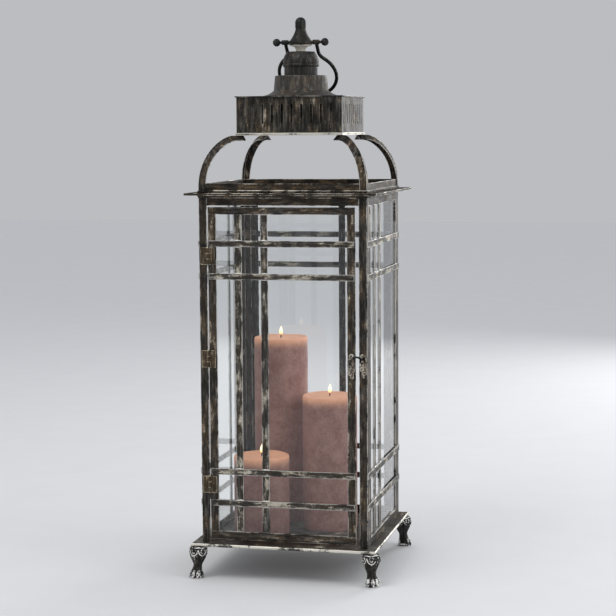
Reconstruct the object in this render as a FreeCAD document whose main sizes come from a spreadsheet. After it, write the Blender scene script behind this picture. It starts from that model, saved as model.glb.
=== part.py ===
# A tall candle lantern: a square cage of metal strips glazed on all four sides, on a tray with four claw feet.
# A hinged front door closes with a hook. Four bent ribs carry a slotted crown, a cupola and a swinging bail.
# Millimetres, +Z up. The origin is on the floor under the centre, and the door faces -Y.
import FreeCAD, Part
import math
import os

import Sketcher
from FreeCAD import Placement, Rotation, Vector

doc = FreeCAD.newDocument("candle_lantern")
sheet = doc.addObject("Spreadsheet::Sheet", "Sizes")

driving_sizes = {
    # cage
    "body_half": 150.0,         # half the width of the cage, to the outer faces of its posts
    "post_leg": 14.5,           # leg of the angle posts
    "strip_thick": 2.0,         # thickness of posts, rails, stiles and uprights
    "rail_low": 662.0,          # underside of the top rails
    "plate_low": 680.0,         # underside of the roof plate and top of the posts
    "stile_width": 15.0,
    "sill_high": 78.0,          # top of the bottom rails of the fixed sides
    "upright_width": 13.0,
    "outer_upright_in": 70.2,   # centre of the outer upright, from the left edge of its face
    "inner_upright_in": 117.3,
    "back_upright_shift": 10.0,
    "strap_width": 11.0,
    "strap_thick": 1.5,
    "strap_top_at": 595.5,      # heights of the four straps
    "strap_upper_at": 538.0,
    "strap_lower_at": 191.7,
    "strap_bottom_at": 135.7,
    "glass_thick": 2.0,
    "glass_overlap": 8.0,       # pane hidden behind a stile or rail
    "clip_width": 9.0,
    "clip_thick": 0.8,
    "clip_lip": 4.5,
    "clip_foot": 4.0,
    # base
    "base_overhang": 16.7,      # past the cage
    "base_top": 64.0,
    "base_edge": 6.0,           # height of the rolled edge of the tray
    "base_sheet": 1.5,
    "base_lip": 7.0,            # width of the rolled edge
    "base_round": 2.6,
    "stud_in": 27.7,            # from the edge of the tray to the bolts of the feet
    "stud_radius": 2.0,
    "stud_gap": 0.1,
    "stud_proud": 1.5,          # past the nut
    "nut_flats": 7.0,
    "nut_high": 3.0,
    # claw feet, outwards from the stud along the diagonal
    "knee_out": 25.0,
    "knee_radius": 15.5,
    "waist_out": 26.0,
    "waist_radius": 7.5,
    "paw_out": 30.0,
    "paw_radius": 9.0,
    "toe_long": 8.0,
    "toe_half": 4.0,
    "toe_high": 6.0,
    "toe_reach": 8.0,
    "toe_spread": 32.0,
    "scroll_radius": 7.0,
    "scroll_half": 17.0,
    "foot_pad": 5.0,            # thickness of the pad between the bolt and the knee
    # door
    "door_left_gap": 1.5,
    "door_right_gap": 6.0,
    "door_top_gap": 2.5,
    "door_bottom_gap": 5.5,
    "door_rail": 13.0,
    "door_bottom_rail": 15.0,
    # hinges
    "hinge_high": 30.0,
    "hinge_upper_at": 573.5,
    "hinge_middle_at": 392.0,
    "hinge_lower_at": 168.0,
    "knuckle_radius": 2.2,
    "knuckle_gap": 0.4,         # between a knuckle and the faces beside it
    "knuckle_end_gap": 0.2,
    "pin_head_high": 1.2,
    "hinge_pin_radius": 1.2,
    "pin_gap": 0.05,
    "leaf_thick": 1.0,
    "leaf_width": 10.0,
    # latch
    "latch_at": 385.0,
    "latch_plate_thick": 1.5,
    "rivet_left": 2.2,          # from the middle of the door stile
    "rivet_down": 1.5,
    "rivet_radius": 1.5,
    "rivet_head": 2.9,
    "rivet_head_thick": 1.2,
    "peg_left": 0.5,            # from the middle of the post leg
    "peg_up": 8.8,
    "peg_radius": 1.8,
    "peg_proud": 2.5,
    "hook_gap": 0.3,
    "hook_thick": 2.0,
    "hook_band": 3.0,
    "hook_eye": 3.8,
    "hook_tip": 5.0,
    "seat_gap": 1.0,            # the hook drops over the peg loosely
    "hook_nub": 2.2,
    # roof
    "roof_overhang": 21.0,      # past the cage
    "roof_thick": 4.0,
    "roof_inner": 133.0,
    "cove_high": 5.0,
    "cove_web": 1.0,
    "curb_thick": 1.5,
    "curb_top": 700.0,
    "curb_gap": 0.4,            # inside the ribs
    "curb_bead_high": 4.0,
    "curb_bead_out": 1.5,
    "rib_leg": 13.0,
    "rib_thick": 1.5,
    "rib_straight": 6.0,
    "rib_change_at": 61.3,      # degrees of the wide bend, before the top bend takes over
    "rib_seat": 14.0,           # level length under the crown
    "rib_flat": 1.0,            # depth of the flat filed on it
    # crown
    "crown_half": 95.0,
    "crown_low": 783.0,
    "crown_wall_top": 850.0,
    "crown_thick": 1.5,
    "crown_bead_high": 4.5,
    "crown_bead_out": 2.0,
    "crown_plate_thick": 2.0,
    "crown_plate_out": 2.5,
    "slot_count": 10,
    "slot_pitch": 17.6,
    "slot_width": 4.0,
    "slot_low": 803.0,
    "slot_high": 838.5,
    "slot_shift": -4.0,
    # cupola, heights above the crown plate
    "skirt_radius": 70.0,
    "skirt_lip": 1.5,
    "skirt_high": 11.0,
    "skirt_curve": 34.0,
    "drum_radius": 46.8,
    "drum_flare": 2.4,
    "drum_top": 37.5,
    "neck_radius": 30.0,
    "neck_top": 53.0,
    "collar_radius": 32.0,
    "collar_top": 65.0,
    "shoulder_radius": 24.5,
    "shoulder_top": 80.0,
    "shoulder_curve": 30.0,
    "stem_radius": 9.0,
    "stem_top": 86.5,
    "cone_radius": 21.5,
    "cone_top_radius": 9.0,
    "cone_top": 121.0,
    "cone_bulge": 98.0,         # where it is widest
    "cone_curve": 48.0,
    "cone_under_curve": 7.0,
    "stem_curve": 8.0,
    "knob_radius": 9.8,
    "finial_top": 141.5,
    # bail
    "pivot_at": 97.0,           # pivot above the crown plate
    "rod_radius": 2.5,
    "ball_radius": 7.0,
    "ball_at": 44.5,
    "wire_radius": 3.3,
    "bail_eye_at": 28.5,
    "eye_radius": 4.3,
    "eye_half": 6.0,
    "eye_gap": 0.1,
    "bail_bend": 24.0,
    "bail_loop": 53.0,
    "bail_centre": 79.0,
    "bail_rest_gap": 0.3,
    # candles
    "candle_radius": 50.0,
    "tall_high": 345.0,
    "tall_left": 57.0,
    "tall_back": 65.0,
    "medium_high": 246.0,
    "medium_right": 48.0,
    "medium_back": 10.0,
    "small_high": 144.0,
    "small_left": 63.0,
    "small_front": 62.0,
    "pool_depth": 3.0,
    "pool_radius": 40.0,
    "wick_radius": 1.1,
    "wick_high": 9.0,
}


class Size:
    # A number together with the sheet formula that it comes from.
    def __init__(self, value, formula):
        self.value = value
        self.formula = formula

    def __add__(self, other):
        other = as_size(other)
        return Size(self.value + other.value, f"({self.formula} + {other.formula})")

    def __sub__(self, other):
        other = as_size(other)
        return Size(self.value - other.value, f"({self.formula} - {other.formula})")

    def __mul__(self, other):
        other = as_size(other)
        return Size(self.value * other.value, f"({self.formula} * {other.formula})")

    def __truediv__(self, other):
        other = as_size(other)
        return Size(self.value / other.value, f"({self.formula} / {other.formula})")

    def __radd__(self, other):
        return as_size(other) + self

    def __rsub__(self, other):
        return as_size(other) - self

    def __rmul__(self, other):
        return as_size(other) * self

    def __neg__(self):
        return as_size(0) - self


def as_size(amount):
    return amount if isinstance(amount, Size) else Size(float(amount), str(float(amount)))


def square_root(amount):
    return Size(math.sqrt(amount.value), f"sqrt({amount.formula})")


def sine_and_cosine(degrees):
    angle = math.radians(degrees.value)
    return (Size(math.sin(angle), f"sin({degrees.formula} * 1 deg)"),
            Size(math.cos(angle), f"cos({degrees.formula} * 1 deg)"))


class SizeTable:
    pass


size = SizeTable()
for row, (alias, amount) in enumerate(driving_sizes.items(), start=1):
    sheet.set(f"A{row}", str(amount))
    sheet.setAlias(f"A{row}", alias)
    setattr(size, alias, Size(float(amount), f"Sizes.{alias}"))
doc.recompute()

nodes = []


def bind(piece, name, amount):
    piece.setExpression(name, as_size(amount).formula)


def place(piece, x, y, z):
    for axis, amount in zip("xyz", (x, y, z)):
        bind(piece, f"Placement.Base.{axis}", amount)


def keep(label, piece):
    piece.Label = label
    nodes.append(piece)
    return piece


def block(name, low, high):
    piece = doc.addObject("Part::Box", name)
    for side, start, end in zip(("Length", "Width", "Height"), low, high):
        bind(piece, side, as_size(end) - start)
    place(piece, *low)
    return piece


def rod(name, radius, length, base, axis):
    # A cylinder from base along +X, +Y or +Z.
    piece = doc.addObject("Part::Cylinder", name)
    bind(piece, "Radius", radius)
    bind(piece, "Height", length)
    piece.Placement = Placement(Vector(), Rotation(Vector(0, 0, 1), Vector(*axis)))
    place(piece, *base)
    return piece


def ball(name, radius, centre):
    piece = doc.addObject("Part::Sphere", name)
    bind(piece, "Radius", radius)
    place(piece, *centre)
    return piece


def fuse(name, pieces):
    piece = doc.addObject("Part::MultiFuse", name)
    piece.Shapes = pieces
    piece.Refine = True
    return piece


def cut(name, base, tool):
    piece = doc.addObject("Part::Cut", name)
    piece.Base = base
    piece.Tool = tool
    return piece


def group(name, pieces, turn=0):
    # Separate solids in one node, turned about the middle of the lantern.
    piece = doc.addObject("Part::Compound", name)
    piece.Links = pieces
    piece.Placement = Placement(Vector(), Rotation(Vector(0, 0, 1), turn))
    return piece


def new_body(name, turn=0):
    body = doc.addObject("PartDesign::Body", name)
    body.Placement = Placement(Vector(), Rotation(Vector(0, 0, 1), turn))
    return body


def drawing_on(body, name, role, lift=None):
    drawing = body.newObject("Sketcher::SketchObject", name)
    plane = [feature for feature in body.Origin.OriginFeatures if feature.Role == role][0]
    drawing.AttachmentSupport = [(plane, "")]
    drawing.MapMode = "FlatFace"
    if lift is not None:
        bind(drawing, "AttachmentOffset.Base.z", lift)
    return drawing


def pin_point(drawing, side, point, across, up):
    for kind, amount in (("DistanceX", across), ("DistanceY", up)):
        amount = as_size(amount)
        index = drawing.addConstraint(Sketcher.Constraint(kind, -1, 1, side, point, amount.value))
        bind(drawing, f"Constraints[{index}]", amount)


def pin_radius(drawing, side, radius):
    index = drawing.addConstraint(Sketcher.Constraint("Radius", side, radius.value))
    bind(drawing, f"Constraints[{index}]", radius)


def circle(drawing, across, up, radius):
    centre = Vector(as_size(across).value, as_size(up).value, 0)
    side = drawing.addGeometry(Part.Circle(centre, Vector(0, 0, 1), radius.value))
    pin_point(drawing, side, 3, across, up)
    pin_radius(drawing, side, radius)


def outline(drawing, corners, closed=True):
    # Each corner is (across, up), or (across, up, radius) where an arc leads on to the next corner:
    # a positive radius turns left on the way, a negative one turns right.
    ends = []
    last = len(corners) if closed else len(corners) - 1
    for index in range(last):
        corner = corners[index]
        following = corners[(index + 1) % len(corners)]
        here = Vector(as_size(corner[0]).value, as_size(corner[1]).value, 0)
        there = Vector(as_size(following[0]).value, as_size(following[1]).value, 0)
        if len(corner) == 2:
            side = drawing.addGeometry(Part.LineSegment(here, there))
            ends.append((side, 1, 2))
            continue
        radius = corner[2]
        left_turn = radius.value > 0
        size_of_arc = radius if left_turn else -radius
        chord = there - here
        aside = Vector(-chord.y, chord.x, 0).normalize()
        depth = math.sqrt(max(0, size_of_arc.value ** 2 - chord.Length ** 2 / 4))
        centre = (here + there) * 0.5 + aside * (depth if left_turn else -depth)
        first, second = (here, there) if left_turn else (there, here)
        start = math.atan2(first.y - centre.y, first.x - centre.x)
        stop = math.atan2(second.y - centre.y, second.x - centre.x)
        if stop < start:
            stop += 2 * math.pi
        whole = Part.Circle(centre, Vector(0, 0, 1), size_of_arc.value)
        side = drawing.addGeometry(Part.ArcOfCircle(whole, start, stop))
        if depth > 0.001:
            pin_radius(drawing, side, size_of_arc)
        else:
            level = (as_size(corner[1]) + following[1]) / 2
            index = drawing.addConstraint(Sketcher.Constraint("DistanceY", -1, 1, side, 3, level.value))
            bind(drawing, f"Constraints[{index}]", level)
        ends.append((side, 1, 2) if left_turn else (side, 2, 1))
    for index, (side, start, stop) in enumerate(ends):
        pin_point(drawing, side, start, corners[index][0], corners[index][1])
        if closed or index + 1 < last:
            next_side, next_start, _ = ends[(index + 1) % len(ends)]
            drawing.addConstraint(Sketcher.Constraint("Coincident", side, stop, next_side, next_start))
    if not closed:
        side, _, stop = ends[-1]
        pin_point(drawing, side, stop, corners[-1][0], corners[-1][1])


def square(drawing, half):
    outline(drawing, [(-half, -half), (half, -half), (half, half), (-half, half)])


def pad(body, drawing, length):
    piece = body.newObject("PartDesign::Pad", drawing.Name + "_pad")
    piece.Profile = drawing
    bind(piece, "Length", length)
    return piece


def spun(name, corners):
    # A turned piece about the middle of the lantern.
    body = new_body(name)
    drawing = drawing_on(body, name + "_profile", "XZ_Plane")
    outline(drawing, corners)
    turned = body.newObject("PartDesign::Revolution", name + "_turned")
    turned.Profile = drawing
    turned.ReferenceAxis = (drawing, ["V_Axis"])
    turned.Angle = 360
    return body


def edges_where(piece, test):
    return [f"Edge{number}" for number, edge in enumerate(piece.Shape.Edges, start=1) if test(edge)]


def rounded(body, base, radius, test):
    doc.recompute()
    piece = body.newObject("PartDesign::Fillet", base.Name + "_round")
    piece.Base = (base, edges_where(base, test))
    bind(piece, "Radius", radius)
    return piece


def square_ring(name, inner, outer, low, high):
    body = new_body(name)
    drawing = drawing_on(body, name + "_plan", "XY_Plane", low)
    square(drawing, outer)
    square(drawing, inner)
    pad(body, drawing, high - low)
    return body


# ---------------------------------------------------------------- base tray and feet

base_half = size.body_half + size.base_overhang
stud_at = base_half - size.stud_in


def on_rim(edge):
    # Edges that run along the outside of a square piece, not the upright ones at its corners.
    box = edge.BoundBox
    return box.ZLength < 0.01 and max(box.XLength, box.YLength) > 2 * size.body_half.value


def make_base():
    body = new_body("base_plate")
    plan = drawing_on(body, "tray_plan", "XY_Plane", size.base_top - size.base_edge)
    square(plan, base_half)
    slab = pad(body, plan, size.base_edge)
    rounded(body, slab, size.base_round, on_rim)
    hollow = drawing_on(body, "tray_hollow", "XY_Plane", size.base_top - size.base_sheet)
    square(hollow, base_half - size.base_lip)
    under = body.newObject("PartDesign::Pocket", "tray_under")
    under.Profile = hollow
    bind(under, "Length", size.base_edge)
    holes = drawing_on(body, "stud_holes", "XY_Plane", size.base_top)
    for across in (-1, 1):
        for along in (-1, 1):
            circle(holes, across * stud_at, along * stud_at, size.stud_radius + size.stud_gap)
    drilled = body.newObject("PartDesign::Pocket", "stud_drilling")
    drilled.Profile = holes
    bind(drilled, "Length", 2 * size.base_sheet)
    keep("base_plate", body)


def make_foot(name, turn):
    # The foot is drawn about its own stud, stepping out along +X, then turned onto the diagonal.
    top = size.base_top - size.base_sheet
    under_edge = size.base_top - size.base_edge
    leg = new_body(name + "_leg")
    sections = (
        (0.0 * top, size.paw_out - 4, size.paw_radius),
        (0.12 * top, size.paw_out - 3, size.paw_radius + 1),
        (0.24 * top, size.waist_out + 1.5, size.waist_radius + 1),
        (0.36 * top, size.waist_out, size.waist_radius),
        (0.56 * top, size.knee_out, size.knee_radius - 3.5),
        (0.76 * top, size.knee_out, size.knee_radius),
        (under_edge - 0.3, size.knee_out - 2, size.knee_radius - 2.5),
    )
    drawings = []
    for number, (height, out, radius) in enumerate(sections):
        ring = drawing_on(leg, f"{name}_section{number}", "XY_Plane", height)
        circle(ring, out, 0, radius)
        drawings.append(ring)
    shank = leg.newObject("PartDesign::AdditiveLoft", name + "_shank")
    shank.Profile = drawings[0]
    shank.Sections = drawings[1:]
    boss_radius = 3 * size.stud_radius
    pad_low = under_edge - 0.3 - size.foot_pad
    boss = rod(name + "_boss", boss_radius, top - pad_low, (0, 0, pad_low), (0, 0, 1))
    arm = block(name + "_arm", (0, -boss_radius, pad_low), (size.knee_out, boss_radius, under_edge - 0.3))
    stud_long = size.base_sheet + size.nut_high + size.stud_proud
    stud = rod(name + "_stud", size.stud_radius, stud_long, (0, 0, top), (0, 0, 1))
    scroll = rod(name + "_scroll", size.scroll_radius, 2 * size.scroll_half,
                 (size.knee_out + 2, -size.scroll_half, 0.75 * top), (0, 1, 0))
    toes = []
    for number in range(4):
        heading = (number - 1.5) * driving_sizes["toe_spread"]
        toe = doc.addObject("Part::Ellipsoid", f"{name}_toe{number}")
        bind(toe, "Radius1", size.toe_high)
        bind(toe, "Radius2", size.toe_long)
        bind(toe, "Radius3", size.toe_half)
        toe.Placement = Placement(Vector(), Rotation(Vector(0, 0, 1), heading))
        reach = Size(math.cos(math.radians(heading)), f"cos({1.5 - number} * Sizes.toe_spread * 1 deg)")
        aside = Size(math.sin(math.radians(heading)), f"sin({number - 1.5} * Sizes.toe_spread * 1 deg)")
        place(toe, size.paw_out - 4 + size.toe_reach * reach, size.toe_reach * aside, size.toe_high)
        toes.append(toe)
    foot = fuse(name, [leg, boss, arm, stud, scroll] + toes)
    diagonal = Rotation(Vector(0, 0, 1), turn)
    spot = diagonal.multVec(Vector(1, 0, 0))
    foot.Placement = Placement(Vector(), diagonal)
    reach = stud_at * square_root(as_size(2))
    place(foot, reach * round(spot.x, 12), reach * round(spot.y, 12), 0)
    keep(name, foot)


def make_nuts():
    nuts = []
    for across in (-1, 1):
        for along in (-1, 1):
            nut = doc.addObject("Part::Prism", f"nut{across + 1}{along + 1}")
            nut.Polygon = 6
            bind(nut, "Circumradius", size.nut_flats / square_root(as_size(3)))
            bind(nut, "Height", size.nut_high)
            place(nut, across * stud_at, along * stud_at, size.base_top)
            bore = rod(nut.Name + "_bore", size.stud_radius + size.stud_gap / 2, size.nut_high,
                       (across * stud_at, along * stud_at, size.base_top), (0, 0, 1))
            nuts.append(cut(nut.Name + "_bored", nut, bore))
    keep("foot_nuts", group("foot_nuts", nuts))


# ---------------------------------------------------------------- cage

def make_post(name, turn):
    body = new_body(name, turn)
    corner = -size.body_half
    inner = corner + size.strip_thick
    end = corner + size.post_leg
    plan = drawing_on(body, name + "_plan", "XY_Plane", size.base_top)
    outline(plan, [(corner, corner), (end, corner), (end, inner), (inner, inner), (inner, end), (corner, end)])
    pad(body, plan, size.plate_low - size.base_top)
    keep(name, body)


def strap_heights():
    return (size.strap_top_at, size.strap_upper_at, size.strap_lower_at, size.strap_bottom_at)


def make_straps(name, left, right, turn=0):
    straps = []
    face = -size.body_half
    for number, height in enumerate(strap_heights()):
        low = (left, face - size.strap_thick, height - size.strap_width / 2)
        high = (right, face, height + size.strap_width / 2)
        straps.append(block(f"{name}_{number}", low, high))
    keep(name, group(name, straps, turn))


def make_uprights(name, low, high, shift=0, turn=0):
    bars = []
    face = -size.body_half
    for number, inset in enumerate((size.outer_upright_in, size.inner_upright_in)):
        left = inset - size.body_half - shift - size.upright_width / 2
        bars.append(block(f"{name}_{number}", (left, face, low),
                          (left + size.upright_width, face + size.strip_thick, high)))
    keep(name, group(name, bars, turn))


def pane_box(left, right, low, high):
    back = -size.body_half + size.strip_thick
    return (left, back, low), (right, back + size.glass_thick, high)


def clips_for(name, left, right, low, high):
    # Six bent tabs: each sits on a stile beside the pane, and its lip lies over the pane's edge.
    clips = []
    back = -size.body_half + size.strip_thick
    lip = back + size.glass_thick
    inside = lip + size.clip_thick
    sides = (
        ("left", (left - size.clip_foot, left), (left, left + size.clip_lip)),
        ("right", (right, right + size.clip_foot), (right - size.clip_lip, right)),
    )
    for number, share in enumerate((0.12, 0.5, 0.88)):
        bottom = low + share * (high - low) - size.clip_width / 2
        top = bottom + size.clip_width
        for side, foot_ends, lip_ends in sides:
            foot = block(f"{name}_{side}{number}_foot", (foot_ends[0], back, bottom), (foot_ends[1], inside, top))
            tab = block(f"{name}_{side}{number}_tab", (lip_ends[0], lip, bottom), (lip_ends[1], inside, top))
            clips.append(fuse(f"{name}_{side}{number}", [foot, tab]))
    return clips


def make_fixed_side(side, turn, shift=0):
    # The fixed sides are drawn as the front is seen, then turned to their face.
    face = -size.body_half
    back = face + size.strip_thick
    opening = size.body_half - size.post_leg
    rail = block(f"rail_{side}_strip", (-opening, face, size.rail_low), (opening, back, size.plate_low))
    keep(f"rail_{side}", group(f"rail_{side}", [rail], turn))
    inner = opening - size.stile_width
    strips = [
        block(f"frame_{side}_left", (-opening, face, size.base_top), (-inner, back, size.rail_low)),
        block(f"frame_{side}_right", (inner, face, size.base_top), (opening, back, size.rail_low)),
        block(f"frame_{side}_sill", (-inner, face, size.base_top), (inner, back, size.sill_high)),
    ]
    keep(f"frame_{side}", group(f"frame_{side}", [fuse(f"frame_{side}_strips", strips)], turn))
    make_uprights(f"uprights_{side}", size.sill_high, size.rail_low, shift, turn)
    make_straps(f"straps_{side}", -size.body_half, size.body_half, turn)
    edge = inner + size.glass_overlap
    low = size.sill_high - size.glass_overlap
    high = size.rail_low + size.glass_overlap
    pane = block(f"pane_{side}", *pane_box(-edge, edge, low, high))
    keep(f"glass_{side}", group(f"glass_{side}", [pane], turn))
    return group(f"clips_{side}", clips_for(f"clip_{side}", -edge, edge, low, high), turn)


def make_front_rail():
    opening = size.body_half - size.post_leg
    face = -size.body_half
    strip = block("rail_front", (-opening, face, size.rail_low), (opening, face + size.strip_thick, size.plate_low))
    keep("rail_front", strip)


# ---------------------------------------------------------------- door, hinges and latch

door_left = -size.body_half + size.post_leg + size.door_left_gap
door_right = size.body_half - size.post_leg - size.door_right_gap
door_low = size.base_top + size.door_bottom_gap
door_high = size.rail_low - size.door_top_gap
hinge_x = door_left - size.door_left_gap / 2
hinge_y = -size.body_half - size.knuckle_radius - size.knuckle_gap


def make_door():
    face = -size.body_half
    back = face + size.strip_thick
    inner_left = door_left + size.stile_width
    inner_right = door_right - size.stile_width
    sill = door_low + size.door_bottom_rail
    head = door_high - size.door_rail
    strips = [
        block("stile_left", (door_left, face, door_low), (inner_left, back, door_high)),
        block("stile_right", (inner_right, face, door_low), (door_right, back, door_high)),
        block("door_sill", (inner_left, face, door_low), (inner_right, back, sill)),
        block("door_head", (inner_left, face, head), (inner_right, back, door_high)),
    ]
    keep("door_frame", fuse("door_frame", strips))
    make_uprights("door_uprights", sill, head)
    make_straps("door_straps", door_left + 2, door_right - 2)
    left = inner_left - size.glass_overlap
    right = inner_right + size.glass_overlap
    low = sill - size.glass_overlap
    high = head + size.glass_overlap
    keep("door_glass", block("door_glass", *pane_box(left, right, low, high)))
    keep("door_clips", group("door_clips", clips_for("door_clip", left, right, low, high)))


def hinge_leaf(name, middle, on_post):
    # A leaf with its share of the knuckles: the two outer ones on the post, the middle one on the door.
    side = -1 if on_post else 1
    face = -size.body_half
    out = face - size.leaf_thick
    low = middle - size.hinge_high / 2
    third = size.hinge_high / 3
    touch = hinge_x + side * 0.3 * size.knuckle_radius
    near = hinge_x + side * (size.knuckle_radius + size.knuckle_gap)
    far = near + side * size.leaf_width
    if on_post:
        spans = [(low, low + third), (low + 2 * third, low + size.hinge_high)]
        plate_ends, arm_ends = (far, near), (near, touch)
    else:
        spans = [(low + third + size.knuckle_end_gap, low + 2 * third - size.knuckle_end_gap)]
        plate_ends, arm_ends = (near, far), (touch, near)
    pieces = [block(name + "_plate", (plate_ends[0], out, low), (plate_ends[1], face, low + size.hinge_high))]
    for number, (bottom, top) in enumerate(spans):
        pieces.append(rod(f"{name}_knuckle{number}", size.knuckle_radius, top - bottom,
                          (hinge_x, hinge_y, bottom), (0, 0, 1)))
        pieces.append(block(f"{name}_arm{number}", (arm_ends[0], out, bottom),
                            (arm_ends[1], face - size.knuckle_gap / 2, top)))
    bore_radius = size.hinge_pin_radius + size.pin_gap
    bore = rod(name + "_bore", bore_radius, size.hinge_high, (hinge_x, hinge_y, low), (0, 0, 1))
    return cut(name, fuse(name + "_whole", pieces), bore)


def make_hinges():
    heights = (size.hinge_upper_at, size.hinge_middle_at, size.hinge_lower_at)
    post_leaves = [hinge_leaf(f"post_leaf{n}", height, True) for n, height in enumerate(heights)]
    door_leaves = [hinge_leaf(f"door_leaf{n}", height, False) for n, height in enumerate(heights)]
    pins = []
    for number, height in enumerate(heights):
        low = height - size.hinge_high / 2
        shank = rod(f"pin{number}_shank", size.hinge_pin_radius, size.hinge_high, (hinge_x, hinge_y, low), (0, 0, 1))
        head = rod(f"pin{number}_head", size.knuckle_radius, size.pin_head_high,
                   (hinge_x, hinge_y, low + size.hinge_high), (0, 0, 1))
        pins.append(fuse(f"pin{number}", [shank, head]))
    keep("hinge_post_leaves", group("hinge_post_leaves", post_leaves))
    keep("hinge_door_leaves", group("hinge_door_leaves", door_leaves))
    keep("hinge_pins", group("hinge_pins", pins))


# The hook is a half ring from its rivet on the door to the peg on the post.
plate_face = -size.body_half - size.latch_plate_thick
hook_back = plate_face - size.hook_gap
hook_front = hook_back - size.hook_thick
rivet_x = door_right - size.stile_width / 2 - size.rivet_left
rivet_z = size.latch_at - size.rivet_down
peg_x = size.body_half - size.post_leg / 2 - size.peg_left
peg_z = size.latch_at + size.peg_up
hook_span = square_root((peg_x - rivet_x) * (peg_x - rivet_x) + (peg_z - rivet_z) * (peg_z - rivet_z))
hook_cos = (peg_x - rivet_x) / hook_span
hook_sin = (peg_z - rivet_z) / hook_span


def scrolled_plate(name, middle_x, lobes, holes):
    # A cast plate outlined by its scrolls: overlapping round lobes, pierced by round eyes.
    discs = []
    for number, (across, up, radius) in enumerate(lobes):
        discs.append(rod(f"{name}_lobe{number}", radius, size.latch_plate_thick,
                         (middle_x + across, plate_face, size.latch_at + up), (0, 1, 0)))
    eyes = []
    for number, (across, up, radius) in enumerate(holes):
        eyes.append(rod(f"{name}_eye{number}", radius, size.latch_plate_thick,
                        (middle_x + across, plate_face, size.latch_at + up), (0, 1, 0)))
    return cut(name, fuse(name + "_lobes", discs), fuse(name + "_eyes", eyes))


def make_latch():
    door_middle = door_right - size.stile_width / 2
    post_middle = size.body_half - size.post_leg / 2
    reach = size.post_leg / 2
    lobes = [(0, 16.5, 5.0), (-1.5, 9.5, 5.2), (-1.0, 2.0, 6.4),
             (0.5, -6.0, 6.2), (-0.5, -13.0, 5.0), (1.0, -19.0, 3.4)]
    eyes = [(0.3, 17.0, 1.9), (-3.6, 8.6, 1.4), (2.6, -6.8, 1.5), (-1.8, -13.4, 1.6)]
    keep("latch_door_plate", scrolled_plate("latch_door_plate", door_middle, lobes, eyes))
    lobes = [(-1.0, 16.5, 5.0), (1.5, 11.0, 5.2), (0.3, 3.0, 6.6),
             (0, -4.5, 6.4), (1.2, -12.0, 4.8), (0, -17.5, 3.0)]
    eyes = [(-1.2, 17.2, 1.9), (3.2, 1.6, 1.3), (-2.4, -5.0, 1.6), (1.4, -12.2, 1.6)]
    plate = scrolled_plate("keeper_plate", post_middle, lobes, eyes)
    peg = rod("keeper_peg", size.peg_radius, plate_face - hook_front + size.peg_proud,
              (peg_x, hook_front - size.peg_proud, peg_z), (0, 1, 0))
    keep("latch_post_plate", fuse("latch_post_plate", [plate, peg]))
    head_back = hook_front - size.hook_gap
    shank = rod("rivet_shank", size.rivet_radius, plate_face - head_back, (rivet_x, head_back, rivet_z), (0, 1, 0))
    head = rod("rivet_head", size.rivet_head, size.rivet_head_thick,
               (rivet_x, head_back - size.rivet_head_thick, rivet_z), (0, 1, 0))
    keep("latch_rivet", fuse("latch_rivet", [shank, head]))


def below_hook_line(name, x, z, width, depth):
    # A slab that hangs square to the line from rivet to peg, from a point on that line.
    slab = doc.addObject("Part::Box", name)
    bind(slab, "Length", width)
    bind(slab, "Width", size.hook_thick)
    bind(slab, "Height", depth)
    slab.Placement = Placement(Vector(), Rotation(Vector(0, 1, 0), -math.degrees(math.asin(hook_sin.value))))
    slab.setExpression("Placement.Rotation.Angle", f"asin({hook_sin.formula})")
    slab.Placement.Rotation.Axis = Vector(0, -1, 0)
    place(slab, x - hook_cos * width / 2 + hook_sin * depth, hook_front, z - hook_sin * width / 2 - hook_cos * depth)
    return slab


def make_hook():
    middle_x = (rivet_x + peg_x) / 2
    middle_z = (rivet_z + peg_z) / 2
    outer = (hook_span + size.hook_band) / 2
    disc = rod("hook_disc", outer, size.hook_thick, (middle_x, hook_front, middle_z), (0, 1, 0))
    inside = rod("hook_inside", outer - size.hook_band, size.hook_thick, (middle_x, hook_front, middle_z), (0, 1, 0))
    lower_half = below_hook_line("hook_lower_half", middle_x, middle_z, 2 * outer, outer)
    bow = cut("hook_bow", disc, fuse("hook_trim", [inside, lower_half]))
    eye = rod("hook_eye", size.hook_eye, size.hook_thick, (rivet_x, hook_front, rivet_z), (0, 1, 0))
    tip = rod("hook_tip", size.hook_tip, size.hook_thick, (peg_x, hook_front, peg_z), (0, 1, 0))
    nub = rod("hook_nub", size.hook_nub, size.hook_thick,
              (peg_x + 0.4 * size.hook_tip, hook_front, peg_z + size.hook_tip), (0, 1, 0))
    bore_radius = size.rivet_radius + size.pin_gap
    bore = rod("hook_bore", bore_radius, size.hook_thick, (rivet_x, hook_front, rivet_z), (0, 1, 0))
    seat_radius = size.peg_radius + size.seat_gap
    seat = rod("hook_seat", seat_radius, size.hook_thick, (peg_x, hook_front, peg_z), (0, 1, 0))
    mouth = below_hook_line("hook_mouth", peg_x, peg_z, 2 * seat_radius, 2 * size.hook_tip)
    keep("latch_hook", cut("latch_hook", fuse("hook_whole", [bow, eye, tip, nub]),
                           fuse("hook_cuts", [bore, seat, mouth])))


# ---------------------------------------------------------------- roof and crown

roof_half = size.body_half + size.roof_overhang
plate_top = size.plate_low + size.roof_thick
bead_top = plate_top + size.curb_bead_high


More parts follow.
